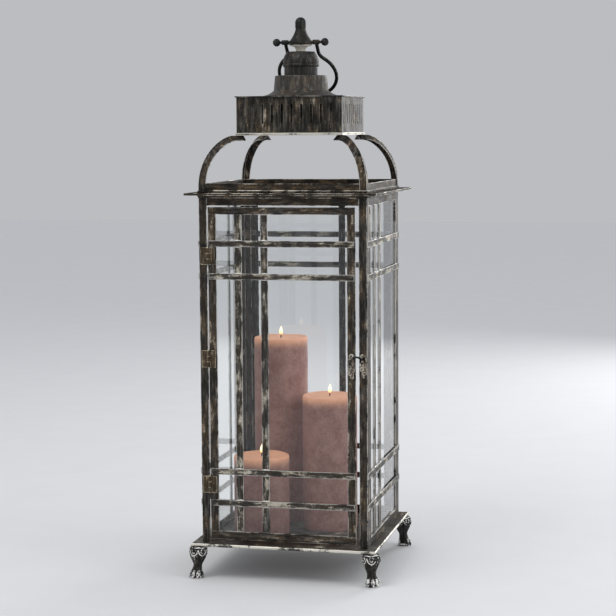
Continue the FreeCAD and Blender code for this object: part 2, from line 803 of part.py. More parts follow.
def make_roof():
    body = new_body("roof_plate")
    web_half = size.body_half + size.cove_web
    web = drawing_on(body, "cove_plan", "XY_Plane", size.plate_low - size.cove_high)
    square(web, web_half)
    square(web, size.body_half)
    pad(body, web, size.cove_high)
    flange = drawing_on(body, "flange_plan", "XY_Plane", size.plate_low)
    square(flange, roof_half)
    square(flange, size.roof_inner)
    plate = pad(body, flange, size.roof_thick)

    def under_flange(edge):
        box = edge.BoundBox
        level = abs(box.ZMin - size.plate_low.value) < 0.01 and box.ZLength < 0.01
        return level and abs(max(box.XLength, box.YLength) - 2 * web_half.value) < 0.01

    rounded(body, plate, size.cove_high - size.cove_web, under_flange)
    keep("roof_plate", body)
    wall_half = size.body_half - size.rib_thick - size.curb_gap
    wall = square_ring("curb_wall", wall_half - size.curb_thick, wall_half, plate_top, size.curb_top)
    bead = square_ring("curb_bead", wall_half, size.body_half + size.curb_bead_out, plate_top, bead_top)
    keep("roof_curb", fuse("roof_curb", [wall, bead]))


def make_rib(name, turn):
    # A length of angle bent in the diagonal plane, its corner outwards: up, round one bend, then round
    # another, to lie level under the corner of the crown.
    body = new_body(name, turn)
    root_two = square_root(as_size(2))
    foot = size.body_half * root_two
    head = size.crown_half * root_two
    start = bead_top + size.rib_straight
    level = size.crown_low + size.rib_flat
    inset = foot - head
    rise = level - start
    sine, cosine = sine_and_cosine(size.rib_change_at)
    wide = (rise * cosine - inset * (1 - sine)) / (sine + cosine - 1)
    tight = (inset * sine - rise * (1 - cosine)) / (sine + cosine - 1)
    meet_out = foot - wide + wide * cosine
    meet_up = start + wide * sine
    path = drawing_on(body, name + "_path", "XZ_Plane")
    outline(path, [(foot, bead_top), (foot, start, wide), (meet_out, meet_up, tight),
                   (head, level), (head - size.rib_seat, level)], closed=False)
    leg = size.rib_leg / root_two
    thick = size.rib_thick / root_two
    section = drawing_on(body, name + "_section", "XY_Plane", bead_top)
    outline(section, [(foot, 0), (foot - leg, leg), (foot - leg - thick, leg - thick), (foot - 2 * thick, 0),
                      (foot - leg - thick, thick - leg), (foot - leg, -leg)])
    pipe = body.newObject("PartDesign::AdditivePipe", name + "_bend")
    pipe.Profile = section
    pipe.Spine = path
    ridge = drawing_on(body, name + "_ridge", "XY_Plane", size.crown_low)
    square(ridge, foot)
    filed = body.newObject("PartDesign::Pocket", name + "_flat")
    filed.Profile = ridge
    filed.Reversed = True
    bind(filed, "Length", 2 * size.rib_flat)
    keep(name, body)


def make_crown():
    wall_inner = size.crown_half - size.crown_thick
    bead_high = size.crown_low + size.crown_bead_high
    keep("crown_bead", square_ring("crown_bead", size.crown_half, size.crown_half + size.crown_bead_out,
                                   size.crown_low, bead_high))
    body = new_body("crown_band")
    plan = drawing_on(body, "band_plan", "XY_Plane", size.crown_low)
    square(plan, size.crown_half)
    square(plan, wall_inner)
    pad(body, plan, size.crown_wall_top - size.crown_low)
    first = size.slot_shift - (size.slot_count - 1) * size.slot_pitch / 2
    half = size.slot_width / 2
    for name, role in (("slots_across", "XZ_Plane"), ("slots_along", "YZ_Plane")):
        drawing = drawing_on(body, name, role)
        outline(drawing, [(first + half, size.slot_low + half), (first + half, size.slot_high - half, half),
                          (first - half, size.slot_high - half), (first - half, size.slot_low + half, half)])
        slot = body.newObject("PartDesign::Pocket", name + "_cut")
        slot.Profile = drawing
        slot.Type = "ThroughAll"
        slot.Midplane = True
        doc.recompute()
        row = body.newObject("PartDesign::LinearPattern", name + "_row")
        row.Originals = [slot]
        row.Direction = (drawing, ["H_Axis"])
        bind(row, "Length", (size.slot_count - 1) * size.slot_pitch)
        bind(row, "Occurrences", size.slot_count)
        body.Tip = row
        doc.recompute()
    keep("crown_band", body)
    out = size.crown_half + size.crown_plate_out
    keep("crown_plate", block("crown_plate", (-out, -out, size.crown_wall_top),
                              (out, out, size.crown_wall_top + size.crown_plate_thick)))


crown_top = size.crown_wall_top + size.crown_plate_thick


def up(height):
    return crown_top + height


def make_cupola():
    wall = 2.0
    foot_radius = size.drum_radius + size.drum_flare
    keep("cupola_drum", spun("cupola_drum", [
        (size.drum_radius - 6, up(0)),
        (size.skirt_radius, up(0)),
        (size.skirt_radius, up(size.skirt_lip), -size.skirt_curve),
        (foot_radius, up(size.skirt_high)),
        (size.drum_radius, up(size.drum_top - 1.5), as_size(2.2)),
        (size.drum_radius - 2, up(size.drum_top)),
        (0, up(size.drum_top)),
        (0, up(size.drum_top - wall)),
        (size.drum_radius - 6, up(size.drum_top - wall)),
    ]))
    keep("cupola_neck", spun("cupola_neck", [
        (0, up(size.drum_top)),
        (size.neck_radius, up(size.drum_top)),
        (size.neck_radius, up(size.neck_top)),
        (size.collar_radius - 0.5, up(size.neck_top), as_size(4)),
        (size.collar_radius - 0.5, up(size.neck_top + 6)),
        (size.collar_radius, up(size.neck_top + 6.5)),
        (size.collar_radius, up(size.collar_top), size.shoulder_curve),
        (size.shoulder_radius, up(size.shoulder_top)),
        (0, up(size.shoulder_top)),
    ]))
    finial = spun("finial_turning", [
        (0, up(size.shoulder_top)),
        (size.stem_radius, up(size.shoulder_top)),
        (size.stem_radius, up(size.stem_top - 2), -size.stem_curve),
        (size.cone_radius - 4, up(size.stem_top + 3.5), size.cone_under_curve),
        (size.cone_radius, up(size.cone_bulge), -size.cone_curve),
        (size.cone_top_radius, up(size.cone_top)),
        (size.knob_radius, up(size.cone_top + 2)),
        (size.knob_radius, up(size.finial_top) - size.knob_radius, size.knob_radius),
        (0, up(size.finial_top)),
    ])
    finial.Placement = Placement(Vector(), Rotation(Vector(0, 0, 1), 90))
    bore = rod("finial_bore", size.rod_radius + size.pin_gap, 2 * size.ball_at,
               (-size.ball_at, 0, up(size.pivot_at)), (1, 0, 0))
    keep("finial", cut("finial", finial, bore))


def make_handle():
    height = up(size.pivot_at)
    shank = rod("rod_shank", size.rod_radius, 2 * size.ball_at, (-size.ball_at, 0, height), (1, 0, 0))
    balls = [ball(f"rod_ball{side + 1}", size.ball_radius, (side * size.ball_at, 0, height)) for side in (-1, 1)]
    keep("handle_rod", fuse("handle_rod", [shank] + balls))
    # The bail hangs down from its eyes, swells into a round loop and rests on the crown plate behind the cupola.
    eye = size.bail_eye_at
    bend = size.bail_bend
    loop = size.bail_loop
    middle = size.bail_centre
    gap_down = square_root((loop + bend) * (loop + bend) - (eye + bend) * (eye + bend))
    start = middle - gap_down
    share = loop / (loop + bend)
    join_out = (eye + bend) * share
    join_down = middle - gap_down * share
    body = new_body("bail_wire_body")
    path = drawing_on(body, "bail_path", "XZ_Plane")
    outline(path, [(eye, 0), (eye, -start, bend), (join_out, -join_down, -loop), (0, -(middle + loop), -loop),
                   (-join_out, -join_down, bend), (-eye, -start), (-eye, 0)], closed=False)
    section = drawing_on(body, "bail_section", "XY_Plane")
    circle(section, eye, 0, size.wire_radius)
    pipe = body.newObject("PartDesign::AdditivePipe", "bail_wire")
    pipe.Profile = section
    pipe.Spine = path
    eyes = []
    for side in (-1, 1):
        start = (side * eye - size.eye_half, 0, 0)
        eyes.append(rod(f"bail_eye{side + 1}", size.eye_radius, 2 * size.eye_half, start, (1, 0, 0)))
    bore = rod("bail_bore", size.rod_radius + size.eye_gap, 4 * eye, (-2 * eye, 0, 0), (1, 0, 0))
    bail = cut("handle", fuse("bail_whole", [body] + eyes), bore)
    drop = size.pivot_at - size.wire_radius - size.bail_rest_gap
    lean = (drop / (middle + loop))
    bail.Placement = Placement(Vector(), Rotation(Vector(1, 0, 0), math.degrees(math.acos(lean.value))))
    bail.setExpression("Placement.Rotation.Angle", f"acos({lean.formula})")
    place(bail, 0, 0, height)
    keep("handle", bail)


# ---------------------------------------------------------------- candles

def make_candle(name, x, y, high):
    floor = size.base_top
    top = floor + high
    body = new_body("candle_" + name)
    profile = drawing_on(body, f"candle_{name}_profile", "XZ_Plane")
    outline(profile, [(0, floor), (size.candle_radius - 1.5, floor), (size.candle_radius, floor + 1.5),
                      (size.candle_radius, top - 3, as_size(3)), (size.candle_radius - 3, top),
                      (size.pool_radius, top), (size.pool_radius - 8, top - size.pool_depth),
                      (0, top - size.pool_depth)])
    turned = body.newObject("PartDesign::Revolution", f"candle_{name}_turned")
    turned.Profile = profile
    turned.ReferenceAxis = (profile, ["V_Axis"])
    turned.Angle = 360
    place(body, x, y, 0)
    keep("candle_" + name, body)
    wick = rod("wick_" + name, size.wick_radius, size.wick_high, (x, y, top - size.pool_depth), (0, 0, 1))
    keep("wick_" + name, wick)


make_base()
corners = (("front_left", 225), ("front_right", 315), ("back_right", 45), ("back_left", 135))
for corner_name, diagonal in corners:
    make_foot("foot_" + corner_name, diagonal)
make_nuts()
for corner_name, diagonal in corners:
    make_post("post_" + corner_name, diagonal - 225)
make_front_rail()
fixed_clips = [
    make_fixed_side("right", 90),
    make_fixed_side("back", 180, size.back_upright_shift),
    make_fixed_side("left", 270),
]
keep("glass_clips", group("glass_clips", fixed_clips))
make_door()
make_hinges()
make_latch()
make_hook()
make_roof()
for corner_name, diagonal in corners:
    make_rib("rib_" + corner_name, diagonal)
make_crown()
make_cupola()
make_handle()
make_candle("tall", -size.tall_left, size.tall_back, size.tall_high)
make_candle("medium", size.medium_right, size.medium_back, size.medium_high)
make_candle("small", -size.small_left, -size.small_front, size.small_high)
doc.recompute()

for thing in doc.Objects:
    if "Invalid" in thing.State or "Error" in thing.State:
        raise RuntimeError(f"{thing.Label} failed: {thing.State}")
for node in nodes:
    if node.Shape.isNull() or not node.Shape.isValid():
        raise RuntimeError(f"{node.Label} has no valid shape")

os.makedirs("parts", exist_ok=True)
for node in nodes:
    node.Shape.exportStep(f"parts/{node.Label}.step")
print(len(nodes), "parts written")
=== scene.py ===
import math

import bmesh
import bpy
from mathutils import Matrix, Vector, noise as noiseField


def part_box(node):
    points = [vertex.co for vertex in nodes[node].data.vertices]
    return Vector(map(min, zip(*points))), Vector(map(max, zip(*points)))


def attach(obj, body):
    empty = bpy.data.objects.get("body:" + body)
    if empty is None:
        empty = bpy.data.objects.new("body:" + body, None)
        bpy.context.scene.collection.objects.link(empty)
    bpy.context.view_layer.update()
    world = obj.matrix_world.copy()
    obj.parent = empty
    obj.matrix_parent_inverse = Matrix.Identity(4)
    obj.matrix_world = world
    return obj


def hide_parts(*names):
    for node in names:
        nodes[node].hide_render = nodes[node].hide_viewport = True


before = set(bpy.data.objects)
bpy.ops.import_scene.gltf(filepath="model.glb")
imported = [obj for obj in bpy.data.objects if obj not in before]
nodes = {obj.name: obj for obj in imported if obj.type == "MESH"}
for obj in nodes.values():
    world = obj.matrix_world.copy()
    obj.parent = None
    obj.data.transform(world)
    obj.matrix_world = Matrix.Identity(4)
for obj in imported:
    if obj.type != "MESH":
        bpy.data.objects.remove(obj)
scene = bpy.context.scene
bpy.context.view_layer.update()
mm = 0.001
corners = ("front_left", "front_right", "back_right", "back_left")
sides = ("right", "back", "left")


# The photograph's own view, found from the corners of the square body: metres, degrees, millimetres of lens.
cameraView = {
    "place": (0.747, -3.150, 0.792),
    "yaw": 13.164,
    "pitch": -5.690,
    "roll": -0.371,
    "lens": 104.35,
    "farthest": 50,
}


def addCamera():
    camera = bpy.data.objects.new("camera", bpy.data.cameras.new("camera"))
    camera.data.lens = cameraView["lens"]
    camera.data.clip_end = cameraView["farthest"]
    turn = Matrix.Rotation(math.radians(cameraView["yaw"]), 4, "Z")
    tilt = Matrix.Rotation(math.radians(90 + cameraView["pitch"]), 4, "X")
    roll = Matrix.Rotation(math.radians(cameraView["roll"]), 4, "Z")
    camera.matrix_world = Matrix.Translation(cameraView["place"]) @ turn @ tilt @ roll
    scene.collection.objects.link(camera)
    scene.camera = camera


addCamera()
print("camera set")


def addNode(tree, kind, **settings):
    node = tree.nodes.new(kind)
    for name, value in settings.items():
        setattr(node, name, value)
    return node


def plug(tree, source, target):
    # A number or a colour is set on the socket, and anything else is linked to it.
    if isinstance(source, (int, float)):
        target.default_value = source
    elif isinstance(source, tuple):
        target.default_value = source if len(source) == 4 or target.type == "VECTOR" else (*source, 1)
    else:
        tree.links.new(source, target)


def calculate(tree, operation, first, second=0.0, third=0.0):
    node = addNode(tree, "ShaderNodeMath", operation=operation)
    for socket, value in zip(node.inputs, (first, second, third)):
        plug(tree, value, socket)
    return node.outputs[0]


def weigh(tree, *parts):
    # The sum of values, each times its weight.
    total = 0.0
    for value, weight in parts:
        total = calculate(tree, "MULTIPLY_ADD", value, weight, total)
    return total


def remap(tree, value, low, high, outLow=0.0, outHigh=1.0):
    node = addNode(tree, "ShaderNodeMapRange", clamp=True, interpolation_type="SMOOTHSTEP")
    amounts = {"Value": value, "From Min": low, "From Max": high, "To Min": outLow, "To Max": outHigh}
    for name, amount in amounts.items():
        plug(tree, amount, node.inputs[name])
    return node.outputs["Result"]


def noise(tree, vector, scale, detail, rough=0.55):
    node = addNode(tree, "ShaderNodeTexNoise")
    plug(tree, vector, node.inputs["Vector"])
    plug(tree, scale, node.inputs["Scale"])
    node.inputs["Detail"].default_value = detail
    node.inputs["Roughness"].default_value = rough
    return node.outputs[0]


def mixColour(tree, mask, under, over):
    node = addNode(tree, "ShaderNodeMix", data_type="RGBA")
    plug(tree, mask, node.inputs[0])
    plug(tree, under, node.inputs[6])
    plug(tree, over, node.inputs[7])
    return node.outputs[2]


def mixValue(tree, mask, under, over):
    node = addNode(tree, "ShaderNodeMix", data_type="FLOAT")
    plug(tree, mask, node.inputs[0])
    plug(tree, under, node.inputs[2])
    plug(tree, over, node.inputs[3])
    return node.outputs[0]


def multiplyVectors(tree, first, second):
    node = addNode(tree, "ShaderNodeVectorMath", operation="MULTIPLY")
    plug(tree, first, node.inputs[0])
    plug(tree, second, node.inputs[1])
    return node.outputs[0]


def newGroup(name, inputs, outputs):
    group = bpy.data.node_groups.new(name, "ShaderNodeTree")
    for socketName, kind, value in inputs:
        socket = group.interface.new_socket(socketName, in_out="INPUT", socket_type="NodeSocket" + kind)
        if value is not None:
            socket.default_value = value
    for socketName, kind in outputs:
        group.interface.new_socket(socketName, in_out="OUTPUT", socket_type="NodeSocket" + kind)
    return group, addNode(group, "NodeGroupInput"), addNode(group, "NodeGroupOutput")


# Each noise has its scale per metre, its detail and its roughness.
# Each layer starts to show at one value and is full at another.
agedPattern = {
    "broad": (26.0, 5, 0.62),
    "patch": (125.0, 6, 0.68),
    "grit": (420.0, 5, 0.70),
    "fine": (1500.0, 3, 0.60),
    "streak": (260.0, 5, 0.65),
    "bareFrom": (1.30, 1.52),
    "paintFrom": (1.76, 1.98),
    "brownFrom": (1.10, 1.45),
    "goldFrom": (0.48, 0.66),
    "mottleFrom": (0.44, 0.68),
    "mottleShare": 0.40,
    "rubFrom": (0.36, 0.64),
    "rubTo": (0.20, 0.68),
    "roughness": {"iron": (0.34, 0.62), "brown": 0.72, "paint": 0.68, "bare": 0.36},
    "metallic": {"iron": 0.75, "brown": 0.25, "paint": 0.05, "bare": 0.85},
}


def makeAgedGroup():
    # Blackened metal with brown stain, chalky old paint in patches, and bare bright edges.
    inputs = [
        ("Vector", "Vector", None), ("Grain", "Vector", (1, 1, 1)), ("Edge", "Float", 0.0),
        ("Scale", "Float", 1.0), ("Bare", "Float", 0.5), ("Paint", "Float", 0.3), ("Brown", "Float", 0.3),
        ("Level", "Float", 0.0),
        ("Dark Colour", "Color", (0.02, 0.02, 0.02, 1)), ("Bare Colour", "Color", (0.6, 0.58, 0.54, 1)),
        ("Paint Colour", "Color", (0.6, 0.56, 0.48, 1)), ("Brown Colour", "Color", (0.1, 0.06, 0.035, 1)),
        ("Gold Colour", "Color", (0.24, 0.15, 0.07, 1)),
    ]
    outputs = [("Colour", "Color"), ("Roughness", "Float"), ("Metallic", "Float"), ("Height", "Float")]
    group, given, result = newGroup("agedMetal", inputs, outputs)
    get = given.outputs
    look = agedPattern

    def layerNoise(name, vector):
        scale, detail, rough = look[name]
        return noise(group, vector, calculate(group, "MULTIPLY", get["Scale"], scale), detail, rough)

    drawn = multiplyVectors(group, get["Vector"], get["Grain"])
    broad = layerNoise("broad", get["Vector"])
    patch = layerNoise("patch", drawn)
    grit = layerNoise("grit", get["Vector"])
    fine = layerNoise("fine", get["Vector"])
    streak = layerNoise("streak", multiplyVectors(group, drawn, get["Grain"]))

    # bare metal: edges first, then thin scuffs where the noise is high
    rubbed = remap(group, broad, *look["rubFrom"], *look["rubTo"])
    edgePush = calculate(group, "MULTIPLY", get["Edge"], rubbed)
    bareField = weigh(group, (patch, 0.8), (grit, 0.9), (get["Bare"], 0.55), (edgePush, 1.0))
    paintField = weigh(group, (broad, 0.8), (patch, 1.1), (grit, 0.5), (streak, 0.4), (get["Paint"], 0.6))
    brownField = weigh(group, (broad, 1.0), (grit, 1.0), (get["Brown"], 0.5))
    bare = remap(group, bareField, *look["bareFrom"])
    paint = remap(group, paintField, *look["paintFrom"])
    brown = remap(group, brownField, *look["brownFrom"])

    tone = weigh(group, (patch, 0.4), (streak, 0.6))
    lighter = mixColour(group, look["mottleShare"], get["Dark Colour"], get["Bare Colour"])
    mottled = mixColour(group, remap(group, tone, *look["mottleFrom"]), get["Dark Colour"], lighter)
    dark = mixColour(group, get["Level"], get["Dark Colour"], mottled)
    rust = mixColour(group, remap(group, patch, *look["goldFrom"]), get["Brown Colour"], get["Gold Colour"])
    colour = mixColour(group, brown, dark, rust)
    colour = mixColour(group, paint, colour, get["Paint Colour"])
    colour = mixColour(group, bare, colour, get["Bare Colour"])
    rough = mixValue(group, grit, *look["roughness"]["iron"])
    metal = look["metallic"]["iron"]
    for layer, mask in (("brown", brown), ("paint", paint), ("bare", bare)):
        rough = mixValue(group, mask, rough, look["roughness"][layer])
        metal = mixValue(group, mask, metal, look["metallic"][layer])
    height = weigh(group, (grit, 0.6), (fine, 0.25), (paint, 0.35), (brown, 0.25))
    for name, value in (("Colour", colour), ("Roughness", rough), ("Metallic", metal), ("Height", height)):
        plug(group, value, result.inputs[name])
    return group


agedGroup = makeAgedGroup()


def newMaterial(name):
    material = bpy.data.materials.new(name)
    material.use_nodes = True
    tree = material.node_tree
    return material, tree, tree.nodes["Principled BSDF"]


def objectVector(tree):
    return addNode(tree, "ShaderNodeTexCoord").outputs["Object"]


# Millimetres, apart from the specular level.
wearPlaces = {
    "railMargin": 5,  # heights this near the ends of the door frame don't count
    "stemDrop": 5,  # the chalky stem of the finial ends this far below the middle of its rod
    "stemFade": 1.5,
    "brimFrom": 2.2,  # the rubbed edge of the base plate, inwards from its half width
    "brimTo": 0.8,
    "specular": 0.35,
}


def agedMaterial(look):
    # Rails are the heights below and above which a frame's own bars lie level. A stem is chalky up to its
    # height, and a brim is the half width at which a plate's rounded edge is rubbed bright.
    material, tree, shader = newMaterial(look["name"])
    vector = objectVector(tree)
    split = addNode(tree, "ShaderNodeSeparateXYZ")
    plug(tree, vector, split.inputs[0])
    height = split.outputs["Z"]
    grain = look["grain"]
    barePart, paintPart, brownPart = look["parts"]
    edge = addNode(tree, "ShaderNodeAttribute", attribute_name="edge").outputs["Fac"]
    if "rails" in look:
        lower = calculate(tree, "LESS_THAN", height, look["rails"][0])
        upper = calculate(tree, "GREATER_THAN", height, look["rails"][1])
        grain = mixColour(tree, calculate(tree, "MAXIMUM", lower, upper), uprightGrain, levelGrain)
    if "stem" in look:
        fade = wearPlaces["stemFade"] * mm
        paintPart = remap(tree, height, look["stem"] - fade, look["stem"] + fade, paintPart, 0.0)
    if "brim" in look:
        acrossX = calculate(tree, "ABSOLUTE", split.outputs["X"])
        acrossY = calculate(tree, "ABSOLUTE", split.outputs["Y"])
        reach = calculate(tree, "MAXIMUM", acrossX, acrossY)
        start = look["brim"] - wearPlaces["brimFrom"] * mm
        full = look["brim"] - wearPlaces["brimTo"] * mm
        edge = calculate(tree, "MAXIMUM", edge, remap(tree, reach, start, full))
    aged = addNode(tree, "ShaderNodeGroup", node_tree=agedGroup)
    values = {
        "Vector": vector, "Edge": edge, "Grain": grain, "Scale": look["size"], "Level": look["mottle"],
        "Bare": barePart, "Paint": paintPart, "Brown": brownPart, "Dark Colour": look["dark"],
        "Bare Colour": look["bare"], "Paint Colour": look["paint"], "Brown Colour": look["brown"],
    }
    for socket, value in values.items():
        plug(tree, value, aged.inputs[socket])
    shader.inputs["Specular IOR Level"].default_value = wearPlaces["specular"]
    bump = addNode(tree, "ShaderNodeBump")
    bump.inputs["Distance"].default_value = look["depth"]
    plug(tree, aged.outputs["Height"], bump.inputs["Height"])
    plug(tree, aged.outputs["Colour"], shader.inputs["Base Color"])
    plug(tree, aged.outputs["Roughness"], shader.inputs["Roughness"])
    plug(tree, aged.outputs["Metallic"], shader.inputs["Metallic"])
    plug(tree, bump.outputs[0], shader.inputs["Normal"])
    return material


def findDoorRails():
    # Where the door's bottom rail ends and its top rail starts.
    levels = sorted({round(vert.co.z, 5) for vert in nodes["door_frame"].data.vertices})
    margin = wearPlaces["railMargin"] * mm
    inner = [z for z in levels if levels[0] + margin < z < levels[-1] - margin]
    return min(inner), max(inner)


uprightGrain, levelGrain = (1, 1, 0.3), (0.3, 0.3, 1)
rodLow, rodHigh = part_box("handle_rod")
stemTop = (rodLow.z + rodHigh.z) / 2 - wearPlaces["stemDrop"] * mm
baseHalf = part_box("base_plate")[1].x

# Bare is scuffed metal, paint the chalky patches and brown the stain. Parts are the shares of those three.
metalBase = {
    "bare": (0.52, 0.505, 0.47),
    "paint": (0.52, 0.475, 0.385),
    "brown": (0.060, 0.043, 0.026),
    "mottle": 0.3,
    "size": 1.0,
    "depth": 0.00025,
    "grain": uprightGrain,
}
metalLooks = {
    "cage": {"name": "blackenedIron", "dark": (0.015, 0.014, 0.0125), "parts": (0.40, 0.34, 0.46),
             "mottle": 0.60},
    "frame": {"name": "blackenedFrame", "dark": (0.018, 0.017, 0.015), "parts": (0.44, 0.44, 0.50),
              "mottle": 0.65, "rails": findDoorRails()},
    "rail": {"name": "blackenedRail", "dark": (0.015, 0.014, 0.012), "parts": (0.38, 0.32, 0.50),
             "mottle": 0.5, "grain": levelGrain},
    "eaves": {"name": "blackenedEaves", "dark": (0.012, 0.011, 0.0095), "bare": (0.66, 0.63, 0.56),
              "parts": (0.24, 0.16, 0.55), "mottle": 0.35, "grain": levelGrain},
    "strap": {"name": "rubbedIron", "dark": (0.036, 0.034, 0.030), "parts": (0.52, 0.62, 0.45),
              "mottle": 0.85, "grain": levelGrain},
    "upright": {"name": "rubbedUpright", "dark": (0.036, 0.034, 0.030), "parts": (0.52, 0.60, 0.45),
                "mottle": 0.85},
    "rim": {"name": "rubbedRim", "dark": (0.040, 0.037, 0.032), "bare": (0.80, 0.77, 0.68),
            "paint": (0.60, 0.55, 0.46), "parts": (0.50, 0.42, 0.42), "mottle": 0.6, "grain": levelGrain,
            "brim": baseHalf},
    "bead": {"name": "rubbedBead", "dark": (0.10, 0.094, 0.082), "bare": (0.72, 0.69, 0.61),
             "paint": (0.68, 0.63, 0.53), "parts": (0.85, 0.80, 0.25), "mottle": 0.9, "grain": levelGrain},
    "solder": {"name": "greySolder", "dark": (0.20, 0.19, 0.17), "bare": (0.82, 0.80, 0.74),
               "paint": (0.74, 0.70, 0.62), "parts": (0.80, 0.70, 0.1), "mottle": 0.9},
    "crown": {"name": "stainedSheet", "dark": (0.014, 0.013, 0.011), "bare": (0.46, 0.44, 0.39),
              "paint": (0.46, 0.42, 0.34), "brown": (0.046, 0.037, 0.025), "parts": (0.22, 0.36, 0.40),
              "mottle": 0.70},
    "cupola": {"name": "leadGrey", "dark": (0.055, 0.053, 0.050), "bare": (0.50, 0.48, 0.44),
               "paint": (0.30, 0.28, 0.24), "parts": (0.22, 0.30, 0.35), "mottle": 0.85, "depth": 0.00018},
    "collar": {"name": "darkCollar", "dark": (0.024, 0.023, 0.022), "bare": (0.38, 0.365, 0.34),
               "paint": (0.22, 0.205, 0.18), "parts": (0.25, 0.15, 0.25), "mottle": 0.5, "depth": 0.00018},
    "finial": {"name": "turnedFinial", "dark": (0.020, 0.020, 0.0195), "bare": (0.34, 0.33, 0.31),
               "paint": (0.66, 0.62, 0.53), "parts": (0.18, 1.3, 0.15), "stem": stemTop},
    "bail": {"name": "blackWire", "dark": (0.018, 0.018, 0.018), "bare": (0.28, 0.27, 0.26),
             "parts": (0.15, 0.0, 0.2)},
    "foot": {"name": "rubbedCasting", "dark": (0.017, 0.016, 0.015), "bare": (0.86, 0.85, 0.81),
             "parts": (0.42, 0.12, 0.2), "mottle": 0.2, "size": 1.4, "depth": 0.0002},
    "hinge": {"name": "agedBrass", "dark": (0.032, 0.026, 0.018), "bare": (0.66, 0.58, 0.43),
              "paint": (0.60, 0.54, 0.42), "brown": (0.09, 0.058, 0.030), "parts": (0.50, 0.42, 0.50),
              "mottle": 0.5, "size": 1.5, "depth": 0.0002},
    "latch": {"name": "paleBrass", "dark": (0.12, 0.09, 0.06), "bare": (0.80, 0.75, 0.65),
              "paint": (0.76, 0.71, 0.60), "brown": (0.13, 0.075, 0.04), "parts": (0.62, 0.56, 0.30),
              "mottle": 0.4, "size": 1.8, "depth": 0.0002},
    "hook": {"name": "blackHook", "dark": (0.012, 0.012, 0.012), "bare": (0.35, 0.34, 0.32),
             "parts": (0.05, 0.0, 0.1)},
    "clip": {"name": "dullTin", "dark": (0.18, 0.17, 0.155), "bare": (0.58, 0.56, 0.52),
             "parts": (0.5, 0.3, 0.25)},
}
materials = {key: agedMaterial({**metalBase, **look}) for key, look in metalLooks.items()}


glassLook = {
    "tint": (0.982, 0.992, 0.988, 1),
    "shadow": (0.93, 0.955, 0.95, 1),
    "rough": 0.015,
    "index": 1.45,
}


def glassMaterial():
    material, tree, shader = newMaterial("clearPane")
    shader.inputs["Base Color"].default_value = glassLook["tint"]
    shader.inputs["Roughness"].default_value = glassLook["rough"]
    shader.inputs["IOR"].default_value = glassLook["index"]
    shader.inputs["Transmission Weight"].default_value = 1.0
    clear = addNode(tree, "ShaderNodeBsdfTransparent")
    clear.inputs["Color"].default_value = glassLook["shadow"]
    blend = addNode(tree, "ShaderNodeMixShader")
    path = addNode(tree, "ShaderNodeLightPath")
    plug(tree, path.outputs["Is Shadow Ray"], blend.inputs[0])
    plug(tree, shader.outputs[0], blend.inputs[1])
    plug(tree, clear.outputs[0], blend.inputs[2])
    plug(tree, blend.outputs[0], tree.nodes["Material Output"].inputs["Surface"])
    return material


materials["glass"] = glassMaterial()
print("metal and glass ready")


# Millimetres and degrees.
wearShape = {
    "merge": 0.01,
    "flat": 0.5,
    "sharp": 35,
    "smooth": 12,
    "segments": 2,
    "narrow": 1.25,  # a face with less area over its rim than this, in fades, stays rubbed all over
    "blur": 2,  # rounds, for the mask of a casting
}


def mergedNode(name):
    bm = bmesh.new()
    bm.from_mesh(nodes[name].data)
    bmesh.ops.remove_doubles(bm, verts=bm.verts, dist=wearShape["merge"] * mm)
    return bm


def placePiece(name, mesh, material, body, replaced=()):
    piece = bpy.data.objects.new(name, mesh)
    scene.collection.objects.link(piece)
    mesh.materials.clear()
    mesh.materials.append(material)
    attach(piece, body)
    if replaced:
        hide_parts(*replaced)


def meshFrom(bm, name, sharp=32):
    mesh = bpy.data.meshes.new(name)
    bm.to_mesh(mesh)
    bm.free()
    mesh.shade_smooth()
    mesh.set_sharp_from_angle(angle=math.radians(sharp))
    return mesh


def skinRings(bm, rings):
    # Walls between rings of as many points, and a cap at either end.
    count = len(rings[0])
    for lower, upper in zip(rings, rings[1:]):
        for step in range(count):
            after = (step + 1) % count
            bm.faces.new((lower[step], lower[after], upper[after], upper[step]))
    bm.faces.new(rings[0][::-1])
    bm.faces.new(rings[-1])


def sweepTube(bm, path, radii, facets, facing=(0, 0, 1), flatten=1.0):
    # A closed tube through points, with a radius in millimetres at each of them.
    rings = []
    for index, point in enumerate(path):
        ahead = (path[min(index + 1, len(path) - 1)] - path[max(index - 1, 0)]).normalized()
        across = ahead.cross(Vector(facing)).normalized()
        turn = Matrix((across, ahead.cross(across), ahead)).transposed().to_4x4()
        radius = radii[index] * mm
        place = Matrix.Translation(point) @ turn @ Matrix.Diagonal((radius, radius * flatten, 1, 1))
        rings.append(bmesh.ops.create_circle(bm, segments=facets, radius=1, matrix=place)["verts"])
    skinRings(bm, rings)
    return rings


def melt(bm, name, voxel):
    # Joins the overlapping solids of a casting into one skin.
    bmesh.ops.recalc_face_normals(bm, faces=bm.faces)
    mesh = bpy.data.meshes.new(name)
    bm.to_mesh(mesh)
    bm.free()
    holder = bpy.data.objects.new(name, mesh)
    scene.collection.objects.link(holder)
    skin = holder.modifiers.new("skin", "REMESH")
    skin.mode = "VOXEL"
    skin.voxel_size = voxel * mm
    shown = holder.evaluated_get(bpy.context.evaluated_depsgraph_get())
    joined = bmesh.new()
    joined.from_mesh(bpy.data.meshes.new_from_object(shown))
    bpy.data.objects.remove(holder)
    bmesh.ops.smooth_vert(joined, verts=joined.verts, factor=0.5, use_axis_x=True, use_axis_y=True,
                          use_axis_z=True)
    return joined


